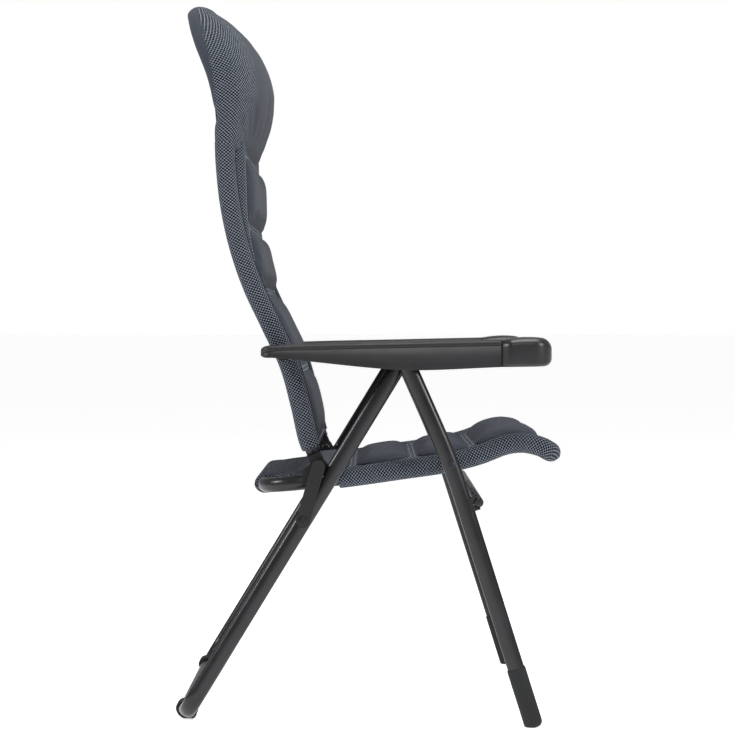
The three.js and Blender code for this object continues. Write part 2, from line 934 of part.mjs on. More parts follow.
function armrest(side) {
  const tall = [0, 2 * armPin.y];
  const outer = slab(facingOut(armSide(0, false)), side * (armInner - 5), side * (armOuter + 30))
    .intersect(block(facingOut(armPlan(side, 0)), ...tall));
  const hollow = slab(facingOut(armSide(armWall, true)), side * (armInner - 5), side * (armOuter + 30))
    .intersect(block(facingOut(armPlan(side, armWall)), ...tall));
  const pivotHole = bar(backPivot(), bushRadius + fit, side * (armInner - 5), side * (armInner + armWall + 1));
  return outer.subtract(hollow).subtract(pivotHole);
}

// The wider front end of an armrest, rounded like a paddle.
function armCap(side) {
  const pivot = backPivot();
  const seam = pivot.x + armReach - capLength + fit;
  const tip = pivot.x + armReach;
  const inner = armInner;
  const outer = armOuter + 4;
  const wide = armOuter + paddleOverhang;
  const plan = new THREE.Shape();
  plan.moveTo(seam, side * inner);
  plan.lineTo(tip - 26, side * inner);
  plan.quadraticCurveTo(tip, side * inner, tip, side * (inner + 30));
  plan.quadraticCurveTo(tip, side * wide, tip - 34, side * wide);
  plan.quadraticCurveTo(seam + 14, side * wide, seam, side * outer);
  const profile = new THREE.Shape();
  profile.moveTo(seam, armPin.y - 15);
  profile.lineTo(tip - 8, armPin.y - 14);
  profile.quadraticCurveTo(tip, armPin.y - 13, tip, armPin.y - 5);
  profile.lineTo(tip, armPin.y + 12);
  profile.quadraticCurveTo(tip, armPin.y + 27, tip - 14, armPin.y + 29);
  profile.quadraticCurveTo(tip - 36, armPin.y + 33, seam, armPin.y + 27);
  return slab(facingOut(profile), side * (inner - 5), side * (wide + 5))
    .intersect(block(facingOut(plan), 0, 2 * armPin.y));
}

// A rib with notches over the arm pin, one for each position of the back.
function notchRack(side) {
  const low = armPin.y + armPinRadius + 0.8;
  const high = armPin.y + armTopAtPin - armWall - 2.5;
  const first = armPin.x;
  const seam = backPivot().x + armReach - capLength;
  const last = first + (seam - first) * rackShare;
  const middle = (rearLegOuter + frontLegInner) / 2;
  const half = (frontLegInner - rearLegOuter) / 2 - running;
  const near = side * (middle - half);
  const far = side * (middle + half);
  let rib = slab(
    polygon([
      [first - 12, low],
      [last + 12, low],
      [last + 12, high],
      [first - 12, high],
    ]),
    near,
    far,
  );
  for (let i = 0; i < notchCount; i += 1) {
    const along = THREE.MathUtils.lerp(first, last, i / (notchCount - 1));
    const notch = new THREE.Vector2(along, low - 1);
    rib = rib.subtract(bar(notch, armPinRadius + 0.8, near - side, far + side, 16));
  }
  return rib;
}

function armrests() {
  bothSides((side, suffix) => {
    add("armrest_" + suffix, armrest(side), "moulding");
    add("armrest_cap_" + suffix, armCap(side), "moulding");
    add("notch_rack_" + suffix, notchRack(side), "black");
  });
}

rearLegs();
frontLegs();
links();
seat();
back();
armrests();

// The origin is on the ground under the middle of the chair.
const extent = new THREE.Box3().setFromObject(chair);
chair.position.x = -(extent.min.x + extent.max.x) / 2;

export default chair;
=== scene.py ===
import math
import bpy
import numpy as np
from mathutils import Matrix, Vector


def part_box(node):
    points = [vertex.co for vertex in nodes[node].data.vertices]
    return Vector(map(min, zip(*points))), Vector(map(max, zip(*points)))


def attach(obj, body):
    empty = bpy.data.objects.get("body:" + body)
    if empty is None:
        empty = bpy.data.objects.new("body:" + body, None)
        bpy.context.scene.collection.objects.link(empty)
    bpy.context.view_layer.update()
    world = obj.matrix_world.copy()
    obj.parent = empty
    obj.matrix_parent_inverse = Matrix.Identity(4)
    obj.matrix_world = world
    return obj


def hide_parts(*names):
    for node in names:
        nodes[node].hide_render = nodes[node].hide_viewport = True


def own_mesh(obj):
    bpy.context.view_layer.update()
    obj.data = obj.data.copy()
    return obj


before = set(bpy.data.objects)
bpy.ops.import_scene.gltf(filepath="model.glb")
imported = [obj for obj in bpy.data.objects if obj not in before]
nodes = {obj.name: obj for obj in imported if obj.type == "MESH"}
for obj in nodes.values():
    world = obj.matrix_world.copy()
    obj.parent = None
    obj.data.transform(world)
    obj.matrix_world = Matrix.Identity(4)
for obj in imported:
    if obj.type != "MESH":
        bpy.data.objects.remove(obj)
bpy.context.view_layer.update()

scene = bpy.context.scene


camera = {"place": (0.0099, -3.4, 0.6346), "lens": 95.95, "shiftX": -0.0075, "shiftY": -0.0551}


def placed(name, data):
    made = bpy.data.objects.new(name, data)
    scene.collection.objects.link(made)
    return made


def makeCamera():
    data = bpy.data.cameras.new("camera")
    data.lens = camera["lens"]
    data.sensor_width = 36
    data.shift_x = camera["shiftX"]
    data.shift_y = camera["shiftY"]
    eye = placed("camera", data)
    eye.location = camera["place"]
    eye.rotation_euler = (math.pi / 2, 0, 0)
    scene.camera = eye


softboxes = [
    # name, place, aims at, size, watts
    ("overhead", (0.3, -0.6, 3.0), (0, 0, 0.4), 2.0, 70),
    ("frontStrip", (2.2, -1.8, 1.5), (0, 0, 0.6), 0.7, 30),
    ("backStrip", (-2.4, -0.8, 1.6), (0, 0, 0.6), 0.7, 30),
    ("nearFill", (0.0, -3.8, 2.4), (0, 0, 0.6), 1.2, 14),
]
studio = {"seen": 1.0, "light": 0.40, "floorGlow": 0.6, "floorRadius": 150}


def makeLights():
    for name, place, aim, size, watts in softboxes:
        data = bpy.data.lights.new(name, "AREA")
        data.size = size
        data.energy = watts
        lamp = placed(name, data)
        lamp.location = place
        towards = np.array(aim, float) - np.array(place, float)
        across = math.hypot(towards[0], towards[1])
        lamp.rotation_euler = (
            math.atan2(across, -towards[2]), 0, math.atan2(-towards[0], towards[1])
        )
    world = bpy.data.worlds.new("studio")
    world.use_nodes = True
    air = Shader(world.node_tree)
    seen = air.node("ShaderNodeLightPath", out="Is Camera Ray")
    strength = air.ramp(seen, 0.0, 1.0, studio["light"], studio["seen"])
    background = world.node_tree.nodes["Background"]
    setInputs(world.node_tree, background.inputs, {"Color": (1, 1, 1, 1), "Strength": strength})
    scene.world = world
    scene.view_settings.view_transform = "Standard"


def linear(red, green, blue):
    # Display colour, 0 to 255, as the linear colour that a shader takes
    shares = np.array([red, green, blue]) / 255
    return tuple(np.where(shares < 0.04, shares / 12.92, ((shares + 0.055) / 1.055) ** 2.4)) + (1,)


def setInputs(tree, sockets, values):
    # Another node's output is linked, anything else is the socket's own constant
    for label, value in dict(values).items():
        if isinstance(value, bpy.types.NodeSocket):
            tree.links.new(value, sockets[label])
        else:
            sockets[label].default_value = value


class Shader:
    # A node tree with short calls: each one adds a node and gives back its output
    def __init__(self, tree):
        self.tree = tree

    def node(self, kind, inputs=(), out=0, **settings):
        made = self.tree.nodes.new(kind)
        for key, value in settings.items():
            setattr(made, key, value)
        setInputs(self.tree, made.inputs, inputs)
        return made.outputs[out]

    def math(self, operation, a, b=0.0):
        return self.node("ShaderNodeMath", {0: a, 1: b}, operation=operation)

    def ramp(self, value, low, high, newLow=0.0, newHigh=1.0):
        return self.node(
            "ShaderNodeMapRange",
            {0: value, 1: low, 2: high, 3: newLow, 4: newHigh},
            interpolation_type="SMOOTHSTEP",
        )

    def mix(self, share, a, b):
        return self.node("ShaderNodeMix", {0: share, 6: a, 7: b}, out=2, data_type="RGBA")

    def noise(self, where, scale, detail):
        return self.node("ShaderNodeTexNoise", {"Vector": where, "Scale": scale, "Detail": detail})

    def bump(self, height, distance):
        return self.node("ShaderNodeBump", {"Height": height, "Distance": distance, "Strength": 1.0})


def newGroup(name, inputs, outputs):
    # An empty node group with float, vector or colour sockets, and its two end nodes
    group = bpy.data.node_groups.new(name, "ShaderNodeTree")
    kinds = {"f": "NodeSocketFloat", "v": "NodeSocketVector", "c": "NodeSocketColor"}
    for label, (kind, value) in inputs.items():
        socket = group.interface.new_socket(label, in_out="INPUT", socket_type=kinds[kind])
        socket.default_value = value
    for label, kind in outputs.items():
        group.interface.new_socket(label, in_out="OUTPUT", socket_type=kinds[kind])
    start = group.nodes.new("NodeGroupInput")
    end = group.nodes.new("NodeGroupOutput")
    return Shader(group), start.outputs, end.inputs


def finishGroup(shader, ends, values):
    setInputs(shader.tree, ends, values)
    return shader.tree


def spacerMeshGroup():
    # Diamond holes: the product of two slanted waves peaks in each hole, and is 0 along the threads
    shader, start, end = newGroup(
        "spacerMesh",
        {"Cloth": ("v", (0, 0, 0)), "Across": ("f", 0.0056), "Along": ("f", 0.0047)},
        {"Hole": "f", "Height": "f"},
    )
    split = shader.node("ShaderNodeSeparateXYZ", {0: start["Cloth"]})
    across = shader.math("DIVIDE", split, start["Across"])
    along = shader.math("DIVIDE", split.node.outputs[1], start["Along"])
    waves = []
    for joined in ("ADD", "SUBTRACT"):
        turned = shader.math("MULTIPLY", shader.math(joined, across, along), math.pi)
        waves.append(shader.math("ABSOLUTE", shader.math("SINE", turned)))
    peak = shader.math("MULTIPLY", *waves)
    hole = shader.ramp(peak, 0.06, 0.22)
    height = shader.ramp(peak, 0.0, 0.6, 1.0, 0.0)
    return finishGroup(shader, end, {"Hole": hole, "Height": height})


def fineWeaveGroup():
    # Plain weave: warp and weft waves multiplied, with slubs from a stretched noise
    shader, start, end = newGroup(
        "fineWeave",
        {"Cloth": ("v", (0, 0, 0)), "Pitch": ("f", 0.0011)},
        {"Height": "f", "Slub": "f"},
    )
    split = shader.node("ShaderNodeSeparateXYZ", {0: start["Cloth"]})
    threads = []
    for axis in (0, 1):
        count = shader.math("DIVIDE", split.node.outputs[axis], start["Pitch"])
        threads.append(shader.math("SINE", shader.math("MULTIPLY", count, 2 * math.pi)))
    weave = shader.math("MULTIPLY", *threads)
    slub = shader.noise(start["Cloth"], 420.0, 2.0)
    height = shader.math("ADD", shader.math("MULTIPLY", weave, 0.35), slub)
    return finishGroup(shader, end, {"Height": height, "Slub": slub})


def fineGrainGroup():
    # Moulded or sprayed skin: small pits from one noise, slow change of tone from another
    shader, start, end = newGroup(
        "fineGrain",
        {"Place": ("v", (0, 0, 0)), "Size": ("f", 900.0)},
        {"Pits": "f", "Tone": "f"},
    )
    pits = shader.noise(start["Place"], start["Size"], 2.0)
    tone = shader.noise(start["Place"], 14.0, 4.0)
    return finishGroup(shader, end, {"Pits": pits, "Tone": tone})


def paintedTopLightGroup():
    # Painted light: a mask on faces that look up, broken up by noise, where the colour is lightened
    # as if light fell on the tops
    shader, start, end = newGroup(
        "paintedTopLit", {"Place": ("v", (0, 0, 0)), "Amount": ("f", 0.2)}, {"Mask": "f"}
    )
    normal = shader.node("ShaderNodeNewGeometry", out="Normal")
    up = shader.node("ShaderNodeSeparateXYZ", {0: normal}, out=2)
    patches = shader.noise(start["Place"], 60.0, 5.0)
    litUpFacing = shader.math("MULTIPLY", shader.ramp(up, 0.3, 1.0), shader.ramp(patches, 0.4, 0.8))
    mask = shader.math("MULTIPLY", litUpFacing, start["Amount"])
    return finishGroup(shader, end, {"Mask": mask})


def groupNode(shader, group, inputs):
    made = shader.tree.nodes.new("ShaderNodeGroup")
    made.node_tree = group
    setInputs(shader.tree, made.inputs, inputs)
    return made.outputs


def newMaterial(name):
    material = bpy.data.materials.new(name)
    material.use_nodes = True
    shader = Shader(material.node_tree)
    surface = material.node_tree.nodes["Principled BSDF"]
    return material, shader, surface


hardFinishes = {
    # dark and light tone, grain per metre, bump in metres, roughness from and to, metallic, specular,
    # coat, painted top light (how far faces that look up are lightened)
    "graphiteTube": ((18, 18, 20), (28, 28, 31), 1400.0, 0.00003, 0.24, 0.32, 0.3, 0.5, 0.0, 0.005),
    "blackFitting": ((9, 9, 10), (15, 16, 17), 1100.0, 0.00005, 0.38, 0.52, 0.0, 0.35, 0.0, 0.04),
    "armrestMoulding": ((16, 16, 18), (24, 24, 27), 950.0, 0.00008, 0.40, 0.52, 0.0, 0.35, 0.0, 0.05),
    "capMoulding": ((14, 14, 16), (22, 22, 25), 950.0, 0.00004, 0.26, 0.34, 0.0, 0.4, 0.15, 0.04),
    "blackRubber": ((16, 17, 18), (26, 27, 29), 700.0, 0.00008, 0.55, 0.72, 0.0, 0.3, 0.0, 0.08),
    "darkSteel": ((30, 31, 33), (50, 51, 54), 1600.0, 0.00002, 0.26, 0.40, 0.9, 0.5, 0.0, 0.03),
}


def hardMaterial(name, grain, topLightNodes):
    dark, light, size, pit, smooth, rough, metal, specular, coat, amount = hardFinishes[name]
    material, shader, surface = newMaterial(name)
    place = shader.node("ShaderNodeTexCoord", out="Object")
    skin = groupNode(shader, grain, {"Place": place, "Size": size})
    topLit = groupNode(shader, topLightNodes, {"Place": place, "Amount": amount})
    colour = shader.mix(shader.ramp(skin["Tone"], 0.3, 0.7), linear(*dark), linear(*light))
    # Painted light: faces that look up are mixed towards light grey, and made rougher there
    colour = shader.mix(topLit["Mask"], colour, linear(150, 150, 148))
    rough = shader.ramp(skin["Tone"], 0.3, 0.7, smooth, rough)
    setInputs(shader.tree, surface.inputs, {
        "Base Color": colour, "Roughness": shader.math("ADD", rough, topLit["Mask"]),
        "Normal": shader.bump(skin["Pits"], pit), "Metallic": metal,
        "Specular IOR Level": specular, "Coat Weight": coat, "Coat Roughness": 0.3,
    })
    return material


clothLook = {
    "ridge": (128, 137, 153),
    "hole": (5, 6, 8),
    "face": ((42, 46, 54), (54, 59, 69)),
    "holeAcross": 0.0062, "holeAlong": 0.0052, "weavePitch": 0.0012, "relief": 0.0011,
    "thread": (150, 155, 165),
    "twist": (104, 110, 120),
    "twistRelief": 0.00006,
}


def clothMaterial(mesh, weave):
    # One cloth for all the pads: smoothShare is 0 on open spacer mesh and 1 on the closed face fabric
    material, shader, surface = newMaterial("padCloth")
    cloth = shader.node("ShaderNodeUVMap", uv_map="cloth")
    share = shader.node("ShaderNodeAttribute", out="Fac", attribute_name="smoothShare")
    open3d = groupNode(
        shader, mesh,
        {"Cloth": cloth, "Across": clothLook["holeAcross"], "Along": clothLook["holeAlong"]},
    )
    closed = groupNode(shader, weave, {"Cloth": cloth, "Pitch": clothLook["weavePitch"]})
    place = shader.node("ShaderNodeTexCoord", out="Object")
    tone = shader.ramp(shader.noise(place, 9.0, 4.0), 0.3, 0.7)
    dark, light = (linear(*colour) for colour in clothLook["face"])
    face = shader.mix(shader.ramp(closed["Slub"], 0.25, 0.75), dark, light)
    face = shader.mix(shader.math("MULTIPLY", tone, 0.35), face, dark)
    lattice = shader.mix(open3d["Hole"], linear(*clothLook["ridge"]), linear(*clothLook["hole"]))
    colour = shader.mix(share, lattice, face)
    openShare = shader.math("SUBTRACT", 1.0, share)
    height = shader.math(
        "ADD",
        shader.math("MULTIPLY", open3d["Height"], openShare),
        shader.math("MULTIPLY", closed["Height"], shader.math("MULTIPLY", share, 0.12)),
    )
    rough = shader.ramp(closed["Slub"], 0.2, 0.8, 0.78, 0.92)
    setInputs(shader.tree, surface.inputs, {
        "Base Color": colour, "Roughness": rough, "Specular IOR Level": 0.2,
        "Normal": shader.bump(height, clothLook["relief"]),
        "Sheen Weight": 0.06, "Sheen Roughness": 0.5,
    })
    return material


def threadMaterial():
    # Twisted thread: fine slanted ridges along the piece
    material, shader, surface = newMaterial("seamThread")
    place = shader.node("ShaderNodeTexCoord", out="Object")
    twist = shader.node(
        "ShaderNodeTexWave", {"Vector": place, "Scale": 900.0, "Distortion": 1.5}, out="Fac"
    )
    colour = shader.mix(twist, linear(*clothLook["twist"]), linear(*clothLook["thread"]))
    setInputs(shader.tree, surface.inputs, {
        "Base Color": colour, "Normal": shader.bump(twist, clothLook["twistRelief"]),
        "Roughness": 0.7, "Sheen Weight": 0.1,
    })
    return material


def floorMaterial():
    material, shader, surface = newMaterial("paleFloor")
    place = shader.node("ShaderNodeTexCoord", out="Object")
    cloud = shader.noise(place, 2.5, 4.0)
    colour = shader.mix(cloud, linear(250, 250, 250), linear(253, 253, 253))
    setInputs(shader.tree, surface.inputs, {
        "Base Color": colour, "Roughness": 0.9, "Specular IOR Level": 0.1,
        "Emission Color": colour, "Emission Strength": studio["floorGlow"],
    })
    return material


def circle(count):
    # Cosine and sine of even steps once round
    turn = np.linspace(0, 2 * math.pi, count, endpoint=False)
    return np.cos(turn), np.sin(turn)


def makeFloor(material):
    mesh = bpy.data.meshes.new("floor")
    corners = 64
    rim = studio["floorRadius"] * np.stack([*circle(corners), np.zeros(corners)], 1)
    mesh.from_pydata(rim.tolist(), [], [list(range(corners))])
    mesh.materials.append(material)
    placed("floor", mesh)


def smoothCurve(points, steps=60):
    # Through the points, at a speed that follows the root of their spacing, so it doesn't overshoot
    p = np.array(points, float)
    p = np.vstack([2 * p[0] - p[1], p, 2 * p[-1] - p[-2]])
    gap = np.sqrt(np.linalg.norm(np.diff(p, axis=0), axis=1))
    t = np.linspace(0, 1, steps, endpoint=False)[:, None]
    parts = []
    for i in range(1, len(p) - 2):
        a, b, c = gap[i - 1 : i + 2]
        first, middle, last = (np.diff(p, axis=0)[i - 1 + k] for k in range(3))
        leave = (first / a - (first + middle) / (a + b) + middle / b) * b
        arrive = (middle / b - (middle + last) / (b + c) + last / c) * b
        bend = 2 * t**3 - 3 * t**2
        parts.append(
            (bend + 1) * p[i] - bend * p[i + 1]
            + (t**3 - 2 * t**2 + t) * leave + (t**3 - t**2) * arrive
        )
    return np.vstack(parts + [p[-2][None]])


class SideLine:
    # A curve in the side view, asked for by its length in metres, with the way out of the padded side
    def __init__(self, points):
        self.line = smoothCurve(points)
        steps = np.linalg.norm(np.diff(self.line, axis=0), axis=1)
        self.reach = np.concatenate([[0], np.cumsum(steps)])
        self.length = self.reach[-1]

    def at(self, s):
        # Straight on past either end
        inside = np.clip(s, 0, self.length)
        place = np.stack([np.interp(inside, self.reach, axis) for axis in self.line.T], -1)
        ahead = np.clip(inside + 0.002, 0, self.length)
        behind = np.clip(inside - 0.002, 0, self.length)
        along = np.stack(
            [np.interp(ahead, self.reach, a) - np.interp(behind, self.reach, a) for a in self.line.T],
            -1,
        )
        along /= np.linalg.norm(along, axis=-1, keepdims=True)
        return place + along * (s - inside)[..., None], along

    def point(self, s, y, out):
        # s along the line, y across the chair, out from the line
        place, along = self.at(s)
        normal = np.stack([along[..., 1], -along[..., 0]], -1)
        flat = place + normal * out[..., None]
        return np.stack([flat[..., 0], y, flat[..., 1]], -1)


def table(rows):
    # A smooth function through (where, value) rows, constant outside them
    line = smoothCurve(rows, 24)
    return lambda s: np.interp(s, line[:, 0], line[:, 1])


def ringFaces(rows, cols):
    # Quads between neighbouring rings, and strips across the first and last ring
    r, c = np.meshgrid(np.arange(rows - 1), np.arange(cols), indexing="ij")
    corners = [(r, c), (r + 1, c), (r + 1, c + 1), (r, c + 1)]
    quads = np.stack([a * cols + b % cols for a, b in corners], -1).reshape(-1, 4)
    i = np.arange(cols // 2 - 1)
    start = np.stack([i, i + 1, cols - 2 - i, cols - 1 - i], -1)
    end = start[:, ::-1] + (rows - 1) * cols
    return np.concatenate([quads, start, end])


def ringUv(grid, faces):
    # Lengths over the surface in metres: round the ring from its first point, and from ring to ring
    rows, cols = grid.shape[:2]
    round_ = np.linalg.norm(np.roll(grid, -1, 1) - grid, axis=2)
    around = np.concatenate([np.zeros((rows, 1)), np.cumsum(round_, 1)], 1)
    around -= around[:, -1:] / 2
    step = np.linalg.norm(np.diff(grid, axis=0), axis=2).mean(1)
    along = np.concatenate([[0], np.cumsum(step)])
    row, col = faces // cols, faces % cols
    isQuad = np.arange(len(faces)) < (rows - 1) * cols
    wraps = isQuad & (col.max(1) - col.min(1) > 1)
    col = np.where(wraps[:, None] & (col == 0), cols, col)
    return np.stack([around[row, col], along[row]], -1).reshape(-1, 2)


def facingOut(points, faces):
    # Turned round if the volume they enclose comes out negative
    a, b, c, d = (points[faces[:, k]] for k in range(4))
    volume = np.einsum("ij,ij->", a, np.cross(b, c)) + np.einsum("ij,ij->", a, np.cross(c, d))
    return faces if volume > 0 else faces[:, ::-1]


def makePiece(name, points, faces, material, uv=None, smoothShare=None):
    mesh = bpy.data.meshes.new(name)
    mesh.from_pydata(points.tolist(), [], faces.tolist())
    mesh.materials.append(material)
    mesh.polygons.foreach_set("use_smooth", [True] * len(faces))
    if uv is not None:
        mesh.uv_layers.new(name="cloth").data.foreach_set("uv", uv.astype(np.float32).ravel())
    if smoothShare is not None:
        share = mesh.attributes.new("smoothShare", "FLOAT", "POINT")
        share.data.foreach_set("value", smoothShare.astype(np.float32).ravel())
    mesh.update()
    return placed(name, mesh)


def ringPiece(name, grid, material, smoothShare=None):
    rows, cols = grid.shape[:2]
    points = grid.reshape(-1, 3)
    faces = facingOut(points, ringFaces(rows, cols))
    uv = ringUv(grid, faces)
    return makePiece(name, points, faces, material, uv, smoothShare)


def subdivided(piece):
    finish = piece.modifiers.new("subdivided", "SUBSURF")
    finish.levels = finish.render_levels = 1
    return piece


def quarter(count):
    # Sine and versine of a quarter turn, for a round edge of radius one
    turn = np.linspace(0, math.pi / 2, count)
    return np.sin(turn), 1 - np.cos(turn)


def mirrored(half):
    # A half section from the middle of one side round to the middle of the other, made whole
    y, out = np.maximum(half[0], 0.003), half[1]
    return np.concatenate([y, -y[:, ::-1]], 1), np.concatenate([out, out[:, ::-1]], 1)


solver = {"frames": 20, "quality": 5, "mass": 0.3}


def swollen(piece, held, look):
    # Blown up a little by the cloth solver with its seams held, no point further than its look's most
    group = piece.vertex_groups.new(name="held")
    group.add(np.flatnonzero(held).tolist(), 1.0, "REPLACE")
    cloth = piece.modifiers.new("swell", "CLOTH")
    cloth.settings.quality = solver["quality"]
    cloth.settings.mass = solver["mass"]
    cloth.settings.use_pressure = True
    cloth.settings.uniform_pressure_force = look["pressure"]
    cloth.settings.shrink_min = -look["growth"]
    cloth.settings.vertex_group_mass = "held"
    cloth.settings.effector_weights.gravity = 0
    cloth.point_cache.frame_start = 1
    cloth.point_cache.frame_end = solver["frames"]
    start = np.zeros(len(piece.data.vertices) * 3, np.float32)
    piece.data.vertices.foreach_get("co", start)
    for number in range(1, solver["frames"] + 1):
        scene.frame_set(number)
    shown = piece.evaluated_get(bpy.context.evaluated_depsgraph_get())
    moved = np.zeros_like(start)
    shown.data.vertices.foreach_get("co", moved)
    piece.modifiers.remove(cloth)
    scene.frame_set(1)
    step = (moved - start).reshape(-1, 3)
    far = np.linalg.norm(step, axis=1, keepdims=True)
    step *= look["most"] * np.tanh(far / look["most"]) / np.maximum(far, 1e-9)
    piece.data.vertices.foreach_set("co", (start.reshape(-1, 3) + step).ravel())
    piece.data.update()
    return piece


def finishPiece(piece, body, replaced=()):
    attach(piece, body)
    if replaced:
        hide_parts(*replaced)
    return piece


sides = ((-1, "right"), (1, "left"))
shiftX = 0.0099  # the part stands centred, this far forward of the lines below
# Cloth round a side tube, until this many degrees up its inner side
tubeWrap = {"halfSpan": 0.236, "round": 0.0142, "deep": 0.0162, "until": 118, "ease": 0.004}

backLine = SideLine([
    (shiftX + x / 1000, z / 1000) for x, z in [
        (-94.67, 430.56), (-104, 452), (-117, 508), (-135, 573), (-165, 638), (-195, 702),
        (-217, 767), (-231, 832), (-238, 896), (-241, 960), (-248, 1022), (-263, 1080),
        (-281, 1128), (-289, 1149),
    ]
])
seatLine = SideLine([
    (shiftX + x / 1000, z / 1000) for x, z in [
        (285, 434), (272, 441), (244, 447.4), (215, 444.5), (172, 428.5), (124.9, 416.3),
        (44, 404), (-45, 391.5), (-179, 376.5),
    ]
])

backCover = {
    "start": 0.010, "end": 0.530,
    "valley": [
        (0, 0.012), (0.135, 0.0125), (0.28, 0.013), (0.39, 0.021), (0.46, 0.028), (0.53, 0.030),
    ],
    "hem": 0.004, "rearSag": 0.004, "gussetFrom": 0.222, "gussetTo": 0.203, "recess": 0.007,
}


def tubeArc(rows, halfSpan, first, last, count, round_, deep):
    # Round the side tube from one angle to the other, in degrees from straight out sideways
    turn = np.radians(np.linspace(first, last, count))[None, :] * np.ones((rows, 1))
    return halfSpan + round_ * np.cos(turn), deep * np.sin(turn)


def coverSection(s, look, valley, halfSpan):
    # Half section of a cover: flat behind, round the tube, down into the gusset and up to the panel
    rows = len(s)
    column = np.ones((rows, 1))
    round_, deep = tubeWrap["round"], tubeWrap["deep"]
    shareIn = np.linspace(0, 1, 12)[None, :-1]
    rearY = halfSpan[:, None] * shareIn
    rearOut = -deep + look["rearSag"] * (1 - shareIn**2) * column
    arcY, arcOut = tubeArc(rows, halfSpan[:, None], -90, tubeWrap["until"], 22, round_, deep)
    inset = tubeWrap["halfSpan"] - halfSpan[:, None]
    fall = np.linspace(0, 1, 5)[None, 1:]
    fromY, fromOut = arcY[:, -1:], arcOut[:, -1:]
    floorY = look["gussetFrom"] - tubeWrap["ease"] - inset
    downY = fromY + (floorY - fromY) * fall
    downOut = fromOut + (look["recess"] - fromOut) * np.sin(fall * math.pi / 2)
    rise = np.linspace(0, 1, 7)[None, 1:]
    upY = floorY + (look["gussetTo"] - inset - floorY) * rise
    upOut = look["recess"] + (valley[:, None] - look["recess"]) * np.sin(rise * math.pi / 2)
    frontY = upY[:, -1:] * (1 - np.linspace(0, 1, 16)[None, 1:])
    frontOut = valley[:, None] * np.ones((1, 15))
    y = np.concatenate([rearY, arcY, downY, upY, frontY[:, :-1]], 1)
    out = np.concatenate([rearOut, arcOut, downOut, upOut, frontOut[:, :-1]], 1)
    return y, out


hemShape = {"sleeveFrom": 0.22, "narrower": 0.0015, "flatter": 0.14}


def hemmed(s, start, end, hem):
    # 1 along the cover and a quarter round down to 0 over its first and last few millimetres
    near = np.clip(np.minimum(s - start, end - s) / hem, 0, 1)
    return np.sqrt(1 - (1 - near) ** 2)


def drawnIn(y, out, full):
    # Narrower and flatter towards a hem, where full falls to 0
    look = hemShape
    sleeve = np.abs(y) > look["sleeveFrom"]
    narrow = np.sign(y) * (np.abs(y) - look["narrower"] * (1 - full) * sleeve)
    return narrow, out * (1 - look["flatter"] * (1 - full))


def endSpaced(start, end, hem, count):
    # Even steps along, with a few fine ones over each hem
    fine = hem * quarter(5)[1]
    middle = np.linspace(start + hem, end - hem, count)[1:-1]
    return np.concatenate([start + fine, middle, end - fine[::-1]])


def softPiece(name, body, line, s, y, out, material, replaced):
    # Of open mesh all over, from its points across and out at each place along a side line
    grid = line.point(s[:, None] * np.ones_like(y), y, out)
    piece = ringPiece(name, grid, material, np.zeros(y.shape))
    finishPiece(piece, body, replaced)


def makeBackCover(material):
    look = backCover
    s = endSpaced(look["start"], look["end"], look["hem"], 110)
    valley = table(look["valley"])(s)
    y, out = mirrored(coverSection(s, look, valley, np.full(len(s), tubeWrap["halfSpan"])))
    pinch = hemmed(s, look["start"], look["end"], look["hem"])[:, None]
    y, out = drawnIn(y, out, pinch)
    softPiece("back_cover", "back", backLine, s, y, out, material, ["back_pad"])


backTufts = [
    # start and end along the back, crown over the valley
    (0.0165, 0.1290, 0.0090),
    (0.1410, 0.2720, 0.0085),
    (0.2840, 0.3830, 0.0125),
    (0.3950, 0.5060, 0.0130),
]
seatTufts = [
    (0.0180, 0.1180, 0.0125),
    (0.1300, 0.2190, 0.0125),
    (0.2310, 0.3200, 0.0120),
    (0.3320, 0.4210, 0.0110),
]
foldSquash = {"back_panel_1": 0.5, "seat_panel_3": 0.7}  # these panels get a mesh of their own; the shares for pressing them together when the chair is folded are not applied
tuftShape = {
    "halfWidth": 0.197, "backCorner": 0.016, "seatCorner": 0.034,
    "domeAlong": (4.5, 0.6),  # power and root: flat on top, steep at the seams
    "domeAcross": (11, 0.5),
    "sink": 0.0025, "pressure": 2.2, "most": 0.003, "growth": 0.015,
}


def crowded(count, share):
    # From -1 to 1 in steps that get finer towards both ends
    even = np.linspace(-1, 1, count)
    return (1 - share) * even + share * np.sin(even * math.pi / 2)


def domed(across, power, root):
    return (1 - np.abs(across) ** power) ** root


def cornerTrim(y, halfWidth, corner):
    # How much shorter the panel is at y, so that its corners are round
    over = np.clip(np.abs(y) - (halfWidth - corner), 0, corner)
    return corner - np.sqrt(corner**2 - over**2)


def tuftGrid(line, valley, start, end, crown, corner):
    # Rings along the panel's length, one after another across it: crowned top, then flat underside
    look = tuftShape
    a, b = crowded(27, 0.45)[None, :], crowded(79, 0.2)[:, None]
    y = b * look["halfWidth"]
    half = (end - start) / 2 - cornerTrim(y, look["halfWidth"], corner)
    s = (start + end) / 2 + a * half
    hump = domed(a, *look["domeAlong"]) * domed(b, *look["domeAcross"])
    base = valley(s)
    top = base - 0.0005 + crown * hump
    under = base - look["sink"]
    wide = y * np.ones_like(s)
    ringS = np.concatenate([s, s[:, ::-1]], 1)
    ringY = np.concatenate([wide, wide[:, ::-1]], 1)
    ringOut = np.concatenate([top, under[:, ::-1]], 1)
    free = np.concatenate([hump > 0.25, np.zeros_like(hump, bool)], 1)
    return line.point(ringS, ringY, ringOut), ~free


